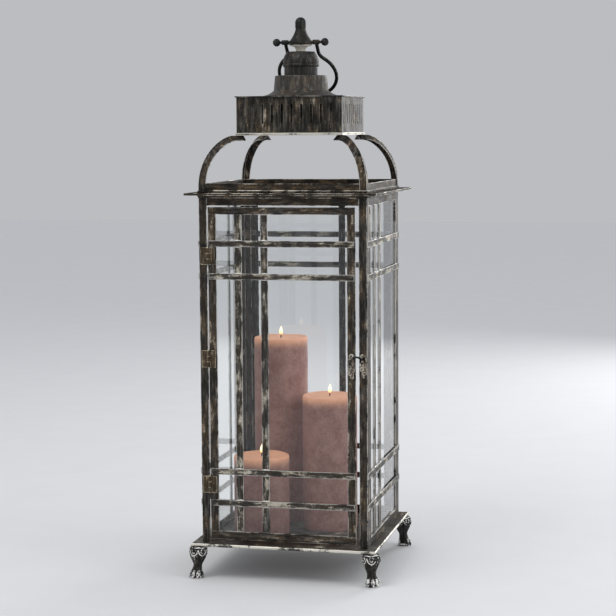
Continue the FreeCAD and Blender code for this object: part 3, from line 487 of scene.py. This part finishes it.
def markHighPlaces(bm, gain):
    # The mask of wear: 1 on ridges and tips, 0 in the hollows.
    mask = bm.verts.layers.float.new("edge")
    bm.normal_update()
    bm.verts.index_update()
    around = [[edge.other_vert(vert) for edge in vert.link_edges] for vert in bm.verts]
    heights = []
    for vert, others in zip(bm.verts, around):
        middle = sum((other.co for other in others), Vector()) / len(others)
        heights.append((vert.co - middle).dot(vert.normal) / mm)
    for turn in range(wearShape["blur"]):
        heights = [0.5 * own + 0.5 * sum(heights[other.index] for other in others) / len(others)
                   for own, others in zip(heights, around)]
    for vert, height in zip(bm.verts, heights):
        vert[mask] = min(1.0, max(0.0, height * gain))


def findRegions(bm, limit):
    # Groups of faces that meet at less than the limit.
    left = set(bm.faces)
    regions = []
    while left:
        first = left.pop()
        region, waiting = {first}, [first]
        while waiting:
            face = waiting.pop()
            for edge in face.edges:
                if len(edge.link_faces) != 2 or edge.calc_face_angle(0) >= limit:
                    continue
                for other in edge.link_faces:
                    if other in left:
                        left.discard(other)
                        region.add(other)
                        waiting.append(other)
        regions.append(list(region))
    return regions


def wornCopy(name, material, body, bevel, fade):
    # A CAD node's own shape with its edges eased, and a mask that is 1 on them and fades over the faces.
    bm = mergedNode(name)
    flat, sharp, smooth = [math.radians(wearShape[key]) for key in ("flat", "sharp", "smooth")]
    bmesh.ops.dissolve_limit(bm, angle_limit=flat, verts=bm.verts, edges=bm.edges)
    creases = [edge for edge in bm.edges if len(edge.link_faces) == 2 and edge.calc_face_angle(0) > sharp]
    bmesh.ops.bevel(bm, geom=creases, offset=bevel * mm, offset_type="OFFSET", affect="EDGES",
                    segments=wearShape["segments"], profile=0.5, material=-1, clamp_overlap=True)
    mask = bm.verts.layers.float.new("edge")
    for vert in bm.verts:
        vert[mask] = 1.0
    for region in findRegions(bm, smooth):
        area = sum(face.calc_area() for face in region)
        rim = sum(edge.calc_length() for face in region for edge in face.edges
                  if len(edge.link_faces) < 2 or edge.calc_face_angle(0) >= smooth)
        if rim and area / rim <= wearShape["narrow"] * fade * mm:
            continue
        if rim:
            bmesh.ops.inset_region(bm, faces=region, thickness=fade * mm, use_even_offset=True,
                                   use_boundary=True)
        for face in region:
            for vert in face.verts:
                vert[mask] = 0.0
    placePiece(name + "_worn", meshFrom(bm, name + "_worn"), material, body, (name,))


# Look, slot, body and nodes, then the eased edge and the fade of its wear in millimetres.
wornPieces = [
    ("cage", "iron", "cage", ["post_" + c for c in corners], 0.35, 1.3),
    ("rail", "iron", "cage", ["rail_front"] + ["rail_" + s for s in sides], 0.35, 1.3),
    ("frame", "frame_iron", "cage", ["frame_" + s for s in sides], 0.35, 1.3),
    ("upright", "frame_iron", "cage", ["uprights_" + s for s in sides], 0.35, 1.6),
    ("strap", "strap_iron", "cage", ["straps_" + s for s in sides], 0.35, 1.5),
    ("rim", "iron", "cage", ["base_plate"], 0.4, 2.0),
    ("eaves", "roof_iron", "cage", ["roof_plate", "roof_curb"], 0.35, 1.2),
    ("cage", "roof_iron", "cage", ["rib_" + c for c in corners], 0.35, 1.4),
    ("crown", "crown_iron", "cage", ["crown_band"], 0.25, 0.5),
    ("collar", "crown_iron", "cage", ["crown_plate"], 0.3, 0.5),
    ("bead", "crown_iron", "cage", ["crown_bead"], 0.4, 1.2),
    ("clip", "fixing", "cage", ["foot_nuts"], 0.3, 1.0),
    ("clip", "clip_tin", "cage", ["glass_clips"], 0.15, 0.8),
    ("frame", "frame_iron", "door", ["door_frame"], 0.35, 1.3),
    ("upright", "frame_iron", "door", ["door_uprights"], 0.35, 1.6),
    ("strap", "strap_iron", "door", ["door_straps"], 0.35, 1.5),
    ("clip", "clip_tin", "door", ["door_clips"], 0.15, 0.8),
    ("hinge", "hinge_brass", "cage", ["hinge_post_leaves", "hinge_pins"], 0.2, 0.9),
    ("hinge", "hinge_brass", "door", ["hinge_door_leaves"], 0.2, 0.9),
    ("latch", "latch_brass", "door", ["latch_rivet"], 0.25, 0.9),
    ("hook", "hook_iron", "latch", ["latch_hook"], 0.6, 0.9),
]
for look, slotName, body, names, bevel, fade in wornPieces:
    for name in names:
        wornCopy(name, materials[look], body, bevel, fade)

# These keep their CAD shape and only take a material.
plainLooks = {
    "cupola_drum": "cupola", "cupola_neck": "collar", "finial": "finial", "handle_rod": "bail",
    "handle": "bail", "glass_right": "glass", "glass_back": "glass", "glass_left": "glass",
    "door_glass": "glass",
}
for name, look in plainLooks.items():
    nodes[name].data.materials[0] = materials[look]
print("edges worn")


# Beads of solder where a strap crosses an upright, in millimetres, and lumps per metre.
solderLook = {"radius": 1.15, "uneven": 0.5, "points": 9, "facets": 10, "endTaper": 0.12, "lumps": 310}


def islandBoxes(name):
    # The box of each separate bar in a node.
    bm = mergedNode(name)
    left = set(bm.verts)
    boxes = []
    while left:
        waiting, found = [left.pop()], []
        while waiting:
            vert = waiting.pop()
            found.append(vert.co.copy())
            for edge in vert.link_edges:
                other = edge.other_vert(vert)
                if other in left:
                    left.discard(other)
                    waiting.append(other)
        low = Vector([min(co[axis] for co in found) for axis in range(3)])
        high = Vector([max(co[axis] for co in found) for axis in range(3)])
        boxes.append((low, high))
    bm.free()
    return boxes


def addBead(bm, start, end):
    # Thin at both ends and lumpy between them.
    path, radii = [], []
    for step in range(solderLook["points"]):
        share = step / (solderLook["points"] - 1)
        point = start + (end - start) * share
        taper = math.sin(math.pi * (solderLook["endTaper"] + (1 - 2 * solderLook["endTaper"]) * share))
        swell = 1 + solderLook["uneven"] * noiseField.noise(point * solderLook["lumps"])
        path.append(point)
        radii.append(solderLook["radius"] * taper * swell)
    sweepTube(bm, path, radii, solderLook["facets"])


def addSolder(name, uprightName, strapName, body, along, through, outward):
    # Beads above and below each strap, on the outer face of the upright behind it.
    bm = bmesh.new()
    for barLow, barHigh in islandBoxes(uprightName):
        for strapLow, strapHigh in islandBoxes(strapName):
            inside = strapLow[along] < (barLow[along] + barHigh[along]) / 2 < strapHigh[along]
            if not (inside and barLow.z < strapLow.z and strapHigh.z < barHigh.z):
                continue
            if outward < 0:
                face = max(barLow[through], strapLow[through])
            else:
                face = min(barHigh[through], strapHigh[through])
            for height in (strapLow.z, strapHigh.z):
                start, end = barLow.copy(), barHigh.copy()
                start.z = end.z = height
                start[through] = end[through] = face
                addBead(bm, start, end)
    bmesh.ops.recalc_face_normals(bm, faces=bm.faces)
    mask = bm.verts.layers.float.new("edge")
    for vert in bm.verts:
        vert[mask] = 1.0
    placePiece(name, meshFrom(bm, name), materials["solder"], body)


addSolder("solder_door", "door_uprights", "door_straps", "door", 0, 1, -1)
addSolder("solder_back", "uprights_back", "straps_back", "cage", 0, 1, 1)
addSolder("solder_right", "uprights_right", "straps_right", "cage", 1, 0, 1)
addSolder("solder_left", "uprights_left", "straps_left", "cage", 1, 0, -1)
print("crossings soldered")


# Each scroll of a latch plate: millimetres across and up from the plate's middle, its radius, and its hand.
latchLook = {
    "height": 0.385,  # the middle of both plates, in metres
    "sunk": 1.5,
    "points": 34,
    "turns": 1.9,
    "startAngle": 0.8,
    "shrink": 0.78,
    "thick": 0.95,
    "thinning": 0.4,
    "facets": 10,
    "voxel": 0.3,
    "sharp": 60,
    "wearGain": 30.0,
    "latch_door_plate": ((0.4, 17.0, 4.0, 1), (-3.2, 8.8, 3.3, -1), (-1.0, 1.6, 4.6, 1),
                         (2.4, -6.8, 3.6, -1), (-1.6, -13.4, 3.3, 1)),
    "latch_post_plate": ((-1.2, 17.2, 4.0, -1), (2.6, 10.2, 3.4, 1), (2.4, 2.0, 3.6, -1),
                         (-2.2, -5.0, 3.8, 1), (1.4, -12.2, 3.3, -1)),
}


def addLatchPlate(name, body):
    bm = mergedNode(name)
    low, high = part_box(name)
    middle = (low + high) / 2
    face = high.y - latchLook["sunk"] * mm
    shares = [step / (latchLook["points"] - 1) for step in range(latchLook["points"])]
    radii = [latchLook["thick"] - latchLook["thinning"] * share for share in shares]
    for across, up, wide, hand in latchLook[name]:
        curl = []
        for share in shares:
            sweep = hand * (latchLook["turns"] * math.tau * share + latchLook["startAngle"])
            radius = wide * (1 - latchLook["shrink"] * share)
            curl.append(Vector((middle.x + (across + radius * math.cos(sweep)) * mm, face,
                                latchLook["height"] + (up + radius * math.sin(sweep)) * mm)))
        sweepTube(bm, curl, radii, latchLook["facets"], (0, 1, 0))
    bm = melt(bm, name + "_cast", latchLook["voxel"])
    for vert in bm.verts:
        vert.co.y = min(vert.co.y, high.y)
    markHighPlaces(bm, latchLook["wearGain"])
    mesh = meshFrom(bm, name + "_cast", latchLook["sharp"])
    placePiece(name + "_cast", mesh, materials["latch"], body, (name,))


addLatchPlate("latch_door_plate", "door")
addLatchPlate("latch_post_plate", "cage")
print("cage dressed")


# The claw foot, in millimetres outwards from the bolt along the diagonal. A section is its height, the place
# of its middle, its half length and its half width. The ball is its middle and its radii. A point of the heel
# is its place, height and radius, a point of the stud its height and radius, and a wear zone its top and gain.
pawShape = {
    "bolt": 139.0,
    "sections": ((0.0, 26.0, 9.0, 11.0), (4.0, 27.0, 9.5, 12.0), (10.0, 27.5, 9.0, 10.5),
                 (16.0, 27.2, 8.2, 8.4), (22.5, 26.0, 7.3, 7.3), (29.0, 25.3, 8.8, 9.0),
                 (35.0, 25.0, 11.4, 11.6), (41.5, 25.0, 13.8, 14.0), (47.5, 25.0, 15.0, 15.2),
                 (53.0, 24.4, 14.2, 14.4), (57.6, 23.0, 12.6, 12.8)),
    "facets": {"shank": 72, "ball": 20, "heel": 14, "arm": 24, "boss": 32, "stud": 20},
    "sharp": 50,
    "flutes": 9,
    "fluteDepth": 0.075,
    "fluted": (12, 44),
    "ball": ((25.5, 0, 4.6), (9.5, 11.5, 4.6)),
    "heel": ((19.5, 3.6, 3.5), (18.6, 7.0, 3.8), (20.5, 12.0, 2.6)),
    "arm": (-3.0, 8.0, 22.0),
    "armLevel": 55.2,
    "armFlatten": 0.42,
    "boss": (52.8, 62.4),
    "bossRadius": 6.0,
    "top": 62.45,
    "voxel": 0.75,
    "wearGain": 15.0,
    "wearZones": ((15, 2.0), (39, 0.45), (63, 1.15)),
    "stud": ((60.0, 2.0), (67.9, 2.0), (68.5, 1.5)),
}

# The leaf round the knee: a scalloped rim, a lip above it, and an eye and a vein in each lobe.
leafShape = {
    "lobes": 6,
    "points": 120,
    "top": 51.5,
    "fall": 9.0,
    "blunt": 0.7,
    "rimProud": 0.7,
    "rimRadius": 1.7,
    "lipLevel": 55.6,
    "lipWave": 0.6,
    "lipRadius": 1.4,
    "proud": 0.6,
    "eyeLevel": 49.6,
    "eyePoints": 26,
    "eyeTurns": 2.2,
    "eyeRadius": 4.1,
    "eyeShrink": 2.7,
    "eyeThick": 1.3,
    "eyeThinning": 0.4,
    "kneeRadius": 15.0,
    "rimFacets": 10,
    "eyeFacets": 8,
    "veinProud": 0.4,
    "vein": ((41.0, 1.1), (36.5, 1.3), (31.5, 1.0), (26.5, 0.35)),
}

# Toes and nails, each point its distance out, its height and its radius.
toeShape = {
    "count": 4,
    "spread": 30.0,
    "root": 21.5,
    "outerReach": 0.92,
    "toe": ((3.0, 20.5, 2.3), (6.0, 18.2, 3.1), (9.0, 15.6, 3.8), (11.8, 12.2, 4.4), (14.2, 8.6, 4.4),
            (15.2, 5.4, 3.7)),
    "nail": ((14.2, 6.0, 2.7), (17.0, 5.2, 2.3), (19.0, 3.6, 1.6), (19.9, 1.6, 0.8), (20.0, 0.5, 0.4)),
    "toeFacets": 16,
    "nailFacets": 12,
}


def sectionAt(height):
    rows = pawShape["sections"]
    for low, high in zip(rows, rows[1:]):
        if height <= high[0]:
            share = (height - low[0]) / (high[0] - low[0])
            return [a + (b - a) * share for a, b in zip(low, high)]
    return rows[-1]


def onPaw(angle, height, proud):
    out, long, wide = sectionAt(height)[1:]
    return Vector((out + (long + proud) * math.cos(angle), (wide + proud) * math.sin(angle), height)) * mm


def addShank(bm):
    count = pawShape["facets"]["shank"]
    rings = []
    for level, out, long, wide in pawShape["sections"]:
        middle = Vector((out * mm, 0, level * mm))
        place = Matrix.Translation(middle) @ Matrix.Diagonal((long * mm, wide * mm, 1, 1))
        ring = bmesh.ops.create_circle(bm, segments=count, radius=1, matrix=place)["verts"]
        fluted = pawShape["fluted"][0] < level < pawShape["fluted"][1]
        furrow = pawShape["fluteDepth"] if fluted else 0.0
        for step, vert in enumerate(ring):
            wave = math.cos(pawShape["flutes"] * math.tau * step / count)
            vert.co = middle + (vert.co - middle) * (1 + furrow * wave)
        rings.append(ring)
    skinRings(bm, rings)


def addEye(bm, angle):
    leaf = leafShape
    shares = [step / (leaf["eyePoints"] - 1) for step in range(leaf["eyePoints"])]
    curl = []
    for share in shares:
        sweep = leaf["eyeTurns"] * math.tau * share
        radius = leaf["eyeRadius"] - leaf["eyeShrink"] * share
        turned = angle + radius * math.cos(sweep) / leaf["kneeRadius"]
        curl.append(onPaw(turned, leaf["eyeLevel"] + radius * math.sin(sweep), leaf["proud"]))
    radii = [leaf["eyeThick"] - leaf["eyeThinning"] * share for share in shares]
    sweepTube(bm, curl, radii, leaf["eyeFacets"])


def addLeaf(bm):
    leaf = leafShape
    lobes = leaf["lobes"]
    rim, lip = [], []
    for step in range(leaf["points"] + 1):
        angle = math.tau * step / leaf["points"]
        fall = abs(math.sin(angle * lobes / 2)) ** leaf["blunt"]
        rim.append(onPaw(angle, leaf["top"] - leaf["fall"] * fall, leaf["rimProud"]))
        lip.append(onPaw(angle, leaf["lipLevel"] + leaf["lipWave"] * math.cos(angle * lobes), leaf["proud"]))
    sweepTube(bm, rim, [leaf["rimRadius"]] * len(rim), leaf["rimFacets"])
    sweepTube(bm, lip, [leaf["lipRadius"]] * len(lip), leaf["rimFacets"])
    for lobe in range(lobes):
        angle = math.tau * (lobe + 0.5) / lobes
        addEye(bm, angle)
        vein = [onPaw(angle, height, leaf["veinProud"]) for height, radius in leaf["vein"]]
        sweepTube(bm, vein, [radius for height, radius in leaf["vein"]], leaf["eyeFacets"])


def addToes(bm):
    root = Vector((toeShape["root"], 0, 0))
    count = toeShape["count"]
    for toe in range(count):
        heading = math.radians((toe - (count - 1) / 2) * toeShape["spread"])
        ahead = Vector((math.cos(heading), math.sin(heading), 0))
        reach = toeShape["outerReach"] if toe in (0, count - 1) else 1.0
        for part in ("toe", "nail"):
            line = toeShape[part]
            path = [(root + ahead * out * reach + Vector((0, 0, up))) * mm for out, up, radius in line]
            sweepTube(bm, path, [radius for out, up, radius in line], toeShape[part + "Facets"])


def addSole(bm):
    # The ball under the toes, and the heel.
    facets = pawShape["facets"]
    centre, radii = pawShape["ball"]
    place = Matrix.Translation(Vector(centre) * mm) @ Matrix.Diagonal((*[radius * mm for radius in radii], 1))
    bmesh.ops.create_uvsphere(bm, u_segments=facets["ball"], v_segments=facets["ball"] // 2, radius=1,
                              matrix=place)
    heel = [Vector((out, 0, up)) * mm for out, up, radius in pawShape["heel"]]
    sweepTube(bm, heel, [radius for out, up, radius in pawShape["heel"]], facets["heel"], (0, 1, 0))


def addArm(bm):
    # From the boss round the bolt to the knee.
    facets = pawShape["facets"]
    arm = [Vector((out, 0, pawShape["armLevel"])) * mm for out in pawShape["arm"]]
    sweepTube(bm, arm, [pawShape["bossRadius"]] * len(arm), facets["arm"], flatten=pawShape["armFlatten"])
    boss = [Vector((0, 0, height)) * mm for height in pawShape["boss"]]
    sweepTube(bm, boss, [pawShape["bossRadius"]] * len(boss), facets["boss"], (1, 0, 0))


def makePaw():
    bm = bmesh.new()
    addShank(bm)
    addLeaf(bm)
    addToes(bm)
    addSole(bm)
    addArm(bm)
    bm = melt(bm, "paw", pawShape["voxel"])
    for vert in bm.verts:
        vert.co.z = min(max(vert.co.z, 0.0), pawShape["top"] * mm)
    markHighPlaces(bm, pawShape["wearGain"])
    mask = bm.verts.layers.float["edge"]
    for vert in bm.verts:
        gain = next(gain for top, gain in pawShape["wearZones"] if vert.co.z / mm < top)
        vert[mask] = min(1.0, vert[mask] * gain)
    mesh = bpy.data.meshes.new("pawShape")
    bm.to_mesh(mesh)
    bm.free()
    return mesh


def addClaw(corner, pawMesh):
    low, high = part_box("foot_" + corner)
    heading = math.atan2(low.y + high.y, low.x + high.x)
    reach = pawShape["bolt"]
    bolt = Vector((math.copysign(reach, low.x), math.copysign(reach, low.y), 0)) * mm
    bm = bmesh.new()
    bm.from_mesh(pawMesh)
    mask = bm.verts.layers.float["edge"]
    stud = [Vector((0, 0, height)) * mm for height, radius in pawShape["stud"]]
    radii = [radius for height, radius in pawShape["stud"]]
    rings = sweepTube(bm, stud, radii, pawShape["facets"]["stud"], (1, 0, 0))
    for vert in rings[-1]:
        vert[mask] = 1.0
    place = Matrix.Translation(bolt) @ Matrix.Rotation(heading, 4, "Z")
    bmesh.ops.transform(bm, matrix=place, verts=bm.verts)
    mesh = meshFrom(bm, "claw_" + corner, pawShape["sharp"])
    placePiece("claw_" + corner, mesh, materials["foot"], "cage", ("foot_" + corner,))


pawMesh = makePaw()
for corner in corners:
    addClaw(corner, pawMesh)
print("claw feet cast")


# Rim points are a share of the radius and millimetres below the top, foot points the same above the bottom.
# Noises have their scale per metre, detail and roughness, and depths in metres belong to the material.
candleLook = {
    "wax": (0.27, 0.105, 0.086),
    "paleWax": (0.46, 0.250, 0.208),
    # glow is painted flame light: near its top the wax is lightened and made to emit, as if lit by the flame
    "glow": (1.0, 0.50, 0.27),
    "glowDepth": 0.026,
    "glowFall": 1.6,
    "glowTint": 0.22,
    "glowStrength": 0.30,
    "cloud": (38.0, 6, 0.62),
    "speck": (210.0, 4, 0.6),
    "toneWeights": (0.7, 0.45),
    "toneFrom": (0.38, 0.78),
    "roughFrom": (0.3, 0.7),
    "roughTo": (0.42, 0.6),
    "softness": 0.35,
    "softRadii": (1.0, 0.45, 0.3),
    "softDepth": 0.008,
    "bumpDepth": 0.0006,
    "rim": ((0.0, 2.4), (0.45, 2.3), (0.74, 2.0), (0.86, 1.2), (0.925, 0.3), (0.962, 0.0), (0.988, 0.9),
            (1.0, 3.0)),
    "foot": ((0.985, 0.8), (0.96, 0.0), (0.0, 0.0)),
    "shoulder": 3,
    "rowHeight": 6,
    "turnSteps": 96,
    "sharp": 60,
    "sagDepth": 14,
    "rimWobble": 1.3,
    "rimLumps": 1.7,
    "sideWobble": 0.45,
    "sideLumps": 42,
    "seedStep": 3.7,
}


def waxMaterial(name, top):
    material, tree, shader = newMaterial("wax_" + name)
    vector = objectVector(tree)
    cloud = noise(tree, vector, *candleLook["cloud"])
    speck = noise(tree, vector, *candleLook["speck"])
    tone = weigh(tree, *zip((cloud, speck), candleLook["toneWeights"]))
    pale = remap(tree, tone, *candleLook["toneFrom"])
    colour = mixColour(tree, pale, candleLook["wax"], candleLook["paleWax"])
    split = addNode(tree, "ShaderNodeSeparateXYZ")
    plug(tree, vector, split.inputs[0])
    # Painted flame light: towards the top the wax colour turns lighter and the wax emits light, standing in
    # for the flame shining into it.
    glow = remap(tree, split.outputs["Z"], top - candleLook["glowDepth"], top)
    glow = calculate(tree, "POWER", glow, candleLook["glowFall"])
    tint = calculate(tree, "MULTIPLY", glow, candleLook["glowTint"])
    plug(tree, mixColour(tree, tint, colour, candleLook["glow"]), shader.inputs["Base Color"])
    plug(tree, mixColour(tree, glow, (0, 0, 0), candleLook["glow"]), shader.inputs["Emission Color"])
    shader.inputs["Emission Strength"].default_value = candleLook["glowStrength"]
    rough = remap(tree, speck, *candleLook["roughFrom"], *candleLook["roughTo"])
    plug(tree, rough, shader.inputs["Roughness"])
    shader.inputs["Subsurface Weight"].default_value = candleLook["softness"]
    shader.inputs["Subsurface Radius"].default_value = candleLook["softRadii"]
    shader.inputs["Subsurface Scale"].default_value = candleLook["softDepth"]
    bump = addNode(tree, "ShaderNodeBump")
    bump.inputs["Distance"].default_value = candleLook["bumpDepth"]
    plug(tree, tone, bump.inputs["Height"])
    plug(tree, bump.outputs[0], shader.inputs["Normal"])
    return material


def turnOutline(bm, outline, axisX, axisY, steps):
    # A closed form turned from half of its outline, given as distances out and heights.
    chain = [bm.verts.new((axisX + out, axisY, height)) for out, height in outline]
    edges = [bm.edges.new(pair) for pair in zip(chain, chain[1:])]
    bmesh.ops.spin(bm, geom=chain + edges, cent=(axisX, axisY, 0), axis=(0, 0, 1), angle=math.tau,
                   steps=steps, use_merge=True)
    bmesh.ops.remove_doubles(bm, verts=bm.verts, dist=0.005 * mm)
    bmesh.ops.recalc_face_normals(bm, faces=bm.faces)


def addCandle(name, seed):
    # Turned, then sagged unevenly round the rim and down the side.
    low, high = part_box("candle_" + name)
    middle = (low + high) / 2
    radius = (high.x - low.x) / 2
    top = high.z
    outline = [(share * radius, top - down * mm) for share, down in candleLook["rim"]]
    shoulder = candleLook["shoulder"] * mm
    steps = int((top - low.z) / (candleLook["rowHeight"] * mm))
    side = top - low.z - 2 * shoulder
    outline += [(radius, top - shoulder - side * step / steps) for step in range(1, steps + 1)]
    outline += [(share * radius, low.z + up * mm) for share, up in candleLook["foot"]]
    bm = bmesh.new()
    turnOutline(bm, outline, middle.x, middle.y, candleLook["turnSteps"])
    for vert in bm.verts:
        out = Vector((vert.co.x - middle.x, vert.co.y - middle.y, 0))
        if out.length < 0.5 * radius:
            continue
        around = out.normalized()
        outermost = (out.length / radius) ** 4
        nearTop = max(0.0, 1 - (top - vert.co.z) / (candleLook["sagDepth"] * mm))
        sag = noiseField.noise(around * candleLook["rimLumps"] + Vector((0, 0, seed)))
        vert.co.z -= candleLook["rimWobble"] * mm * (0.5 + sag) * nearTop * outermost
        bulge = noiseField.noise(vert.co * candleLook["sideLumps"] + Vector((seed, 0, 0)))
        vert.co -= around * candleLook["sideWobble"] * mm * (0.5 + bulge) * outermost
    mesh = meshFrom(bm, "pillar_" + name, candleLook["sharp"])
    placePiece("pillar_" + name, mesh, waxMaterial(name, top), "candle_" + name,
               ("candle_" + name,))


# Sizes in millimetres. The colours run from the wick to the tip.
flameLook = {
    "high": 17.0,
    "widest": 3.1,
    "lean": 0.6,
    "overlap": 3,
    "rows": 22,
    "turnSteps": 24,
    "bellyLow": 0.62,
    "fullness": 0.9,
    "sharp": 180,
    "strength": 1.6,
    "base": (0.9, 0.6, 0.3, 1),
    "root": (0.25, 0.16, 0.20, 1),
    "tip": (1.0, 0.62, 0.22, 1),
    "between": ((0.22, (1.0, 0.55, 0.16, 1)), (0.45, (1.0, 0.86, 0.52, 1)), (0.8, (1.0, 0.92, 0.66, 1))),
}


def flameMaterial():
    material, tree, shader = newMaterial("flame")
    height = addNode(tree, "ShaderNodeAttribute", attribute_name="rise").outputs["Fac"]
    ramp = addNode(tree, "ShaderNodeValToRGB")
    ramp.color_ramp.elements[0].color = flameLook["root"]
    ramp.color_ramp.elements[1].color = flameLook["tip"]
    for place, colour in flameLook["between"]:
        ramp.color_ramp.elements.new(place).color = colour
    plug(tree, height, ramp.inputs[0])
    shader.inputs["Base Color"].default_value = flameLook["base"]
    plug(tree, ramp.outputs[0], shader.inputs["Emission Color"])
    shader.inputs["Emission Strength"].default_value = flameLook["strength"]
    return material


materials["flame"] = flameMaterial()


def addFlame(name, x, y, bottom):
    # A drop drawn out to a point.
    rows = flameLook["rows"]
    high = flameLook["high"] * mm
    outline = []
    for row in range(rows + 1):
        rise = row / rows
        belly = math.sin(math.pi * rise ** flameLook["bellyLow"]) if 0 < row < rows else 0.0
        width = flameLook["widest"] * belly ** flameLook["fullness"]
        outline.append((width * mm, bottom + rise * high))
    bm = bmesh.new()
    turnOutline(bm, outline, x, y, flameLook["turnSteps"])
    riseLayer = bm.verts.layers.float.new("rise")
    for vert in bm.verts:
        rise = (vert.co.z - bottom) / high
        vert[riseLayer] = rise
        vert.co.x += flameLook["lean"] * mm * rise * rise
    mesh = meshFrom(bm, "flame", flameLook["sharp"])
    placePiece("flame_" + name, mesh, materials["flame"], "candle_" + name)


wickLook = {
    "char": (900.0, 3),
    "black": (0.010, 0.008, 0.007),
    "ash": (0.05, 0.035, 0.03),
    "rough": 0.9,
}


def wickMaterial():
    material, tree, shader = newMaterial("charredWick")
    char = noise(tree, objectVector(tree), *wickLook["char"])
    plug(tree, mixColour(tree, char, wickLook["black"], wickLook["ash"]), shader.inputs["Base Color"])
    shader.inputs["Roughness"].default_value = wickLook["rough"]
    return material


materials["wick"] = wickMaterial()
for number, name in enumerate(("tall", "medium", "small")):
    addCandle(name, candleLook["seedStep"] * number)
    wickLow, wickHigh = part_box("wick_" + name)
    wickMiddle = (wickLow + wickHigh) / 2
    addFlame(name, wickMiddle.x, wickMiddle.y, wickHigh.z - flameLook["overlap"] * mm)
    nodes["wick_" + name].data.materials[0] = materials["wick"]
print("candles lit")


# Metres and watts. A lamp is its place, the point that it faces, its width and height, its power and its
# colour.
stageLook = {
    "floorColour": (0.84, 0.84, 0.845),
    "floorShade": 0.94,
    "floorCloud": (9.0, 6),
    "floorRough": 0.8,
    "floorHalf": 12,
    "wallColour": (0.555, 0.565, 0.585),
    "wallStrength": 0.9,
    "worldColour": (0.93, 0.95, 1.0, 1),
    "worldLight": 0.64,
    "lamps": {
        "windowRight": ((2.6, -0.4, 1.5), (0, 0, 0.45), (1.8, 2.2), 20, (0.97, 0.98, 1.0)),
        "sheenBehind": ((1.40, 2.90, 1.35), (0.12, 0, 0.5), (1.1, 1.9), 32, (0.98, 0.99, 1.0)),
        "keyAbove": ((-0.9, -1.5, 3.0), (0, 0, 0.5), (1.4, 1.4), 24, (1.0, 0.99, 0.97)),
    },
}


def addFloor():
    bm = bmesh.new()
    bmesh.ops.create_grid(bm, x_segments=1, y_segments=1, size=stageLook["floorHalf"])
    floor = bpy.data.objects.new("floor", meshFrom(bm, "floor"))
    scene.collection.objects.link(floor)
    material, tree, shader = newMaterial("paleFloor")
    pale = stageLook["floorColour"]
    shade = tuple(channel * stageLook["floorShade"] for channel in pale)
    cloud = noise(tree, objectVector(tree), *stageLook["floorCloud"])
    plug(tree, mixColour(tree, cloud, pale, shade), shader.inputs["Base Color"])
    shader.inputs["Roughness"].default_value = stageLook["floorRough"]
    floor.data.materials.append(material)


def addWorld():
    # One brightness lights the object, another is what the camera, the panes and the metal see.
    world = bpy.data.worlds.new("studio")
    scene.world = world
    world.use_nodes = True
    tree = world.node_tree
    light = tree.nodes["Background"]
    light.inputs["Color"].default_value = stageLook["worldColour"]
    light.inputs["Strength"].default_value = stageLook["worldLight"]
    seen = addNode(tree, "ShaderNodeBackground")
    seen.inputs["Color"].default_value = (*stageLook["wallColour"], 1)
    seen.inputs["Strength"].default_value = stageLook["wallStrength"]
    path = addNode(tree, "ShaderNodeLightPath")
    shown = calculate(tree, "MAXIMUM", path.outputs["Is Camera Ray"], path.outputs["Is Transmission Ray"])
    shown = calculate(tree, "MAXIMUM", shown, path.outputs["Is Glossy Ray"])
    blend = addNode(tree, "ShaderNodeMixShader")
    plug(tree, shown, blend.inputs[0])
    plug(tree, light.outputs[0], blend.inputs[1])
    plug(tree, seen.outputs[0], blend.inputs[2])
    plug(tree, blend.outputs[0], tree.nodes["World Output"].inputs["Surface"])


def addLamp(name, place, aim, size, power, colour):
    lamp = bpy.data.objects.new(name, bpy.data.lights.new(name, "AREA"))
    lamp.data.shape = "RECTANGLE"
    lamp.data.size, lamp.data.size_y = size
    lamp.data.energy = power
    lamp.data.color = colour
    lamp.location = place
    lamp.rotation_euler = (Vector(aim) - Vector(place)).to_track_quat("-Z", "Y").to_euler()
    scene.collection.objects.link(lamp)


addFloor()
addWorld()
for name, settings in stageLook["lamps"].items():
    addLamp(name, *settings)
scene.view_settings.view_transform = "Standard"
print("stage ready")
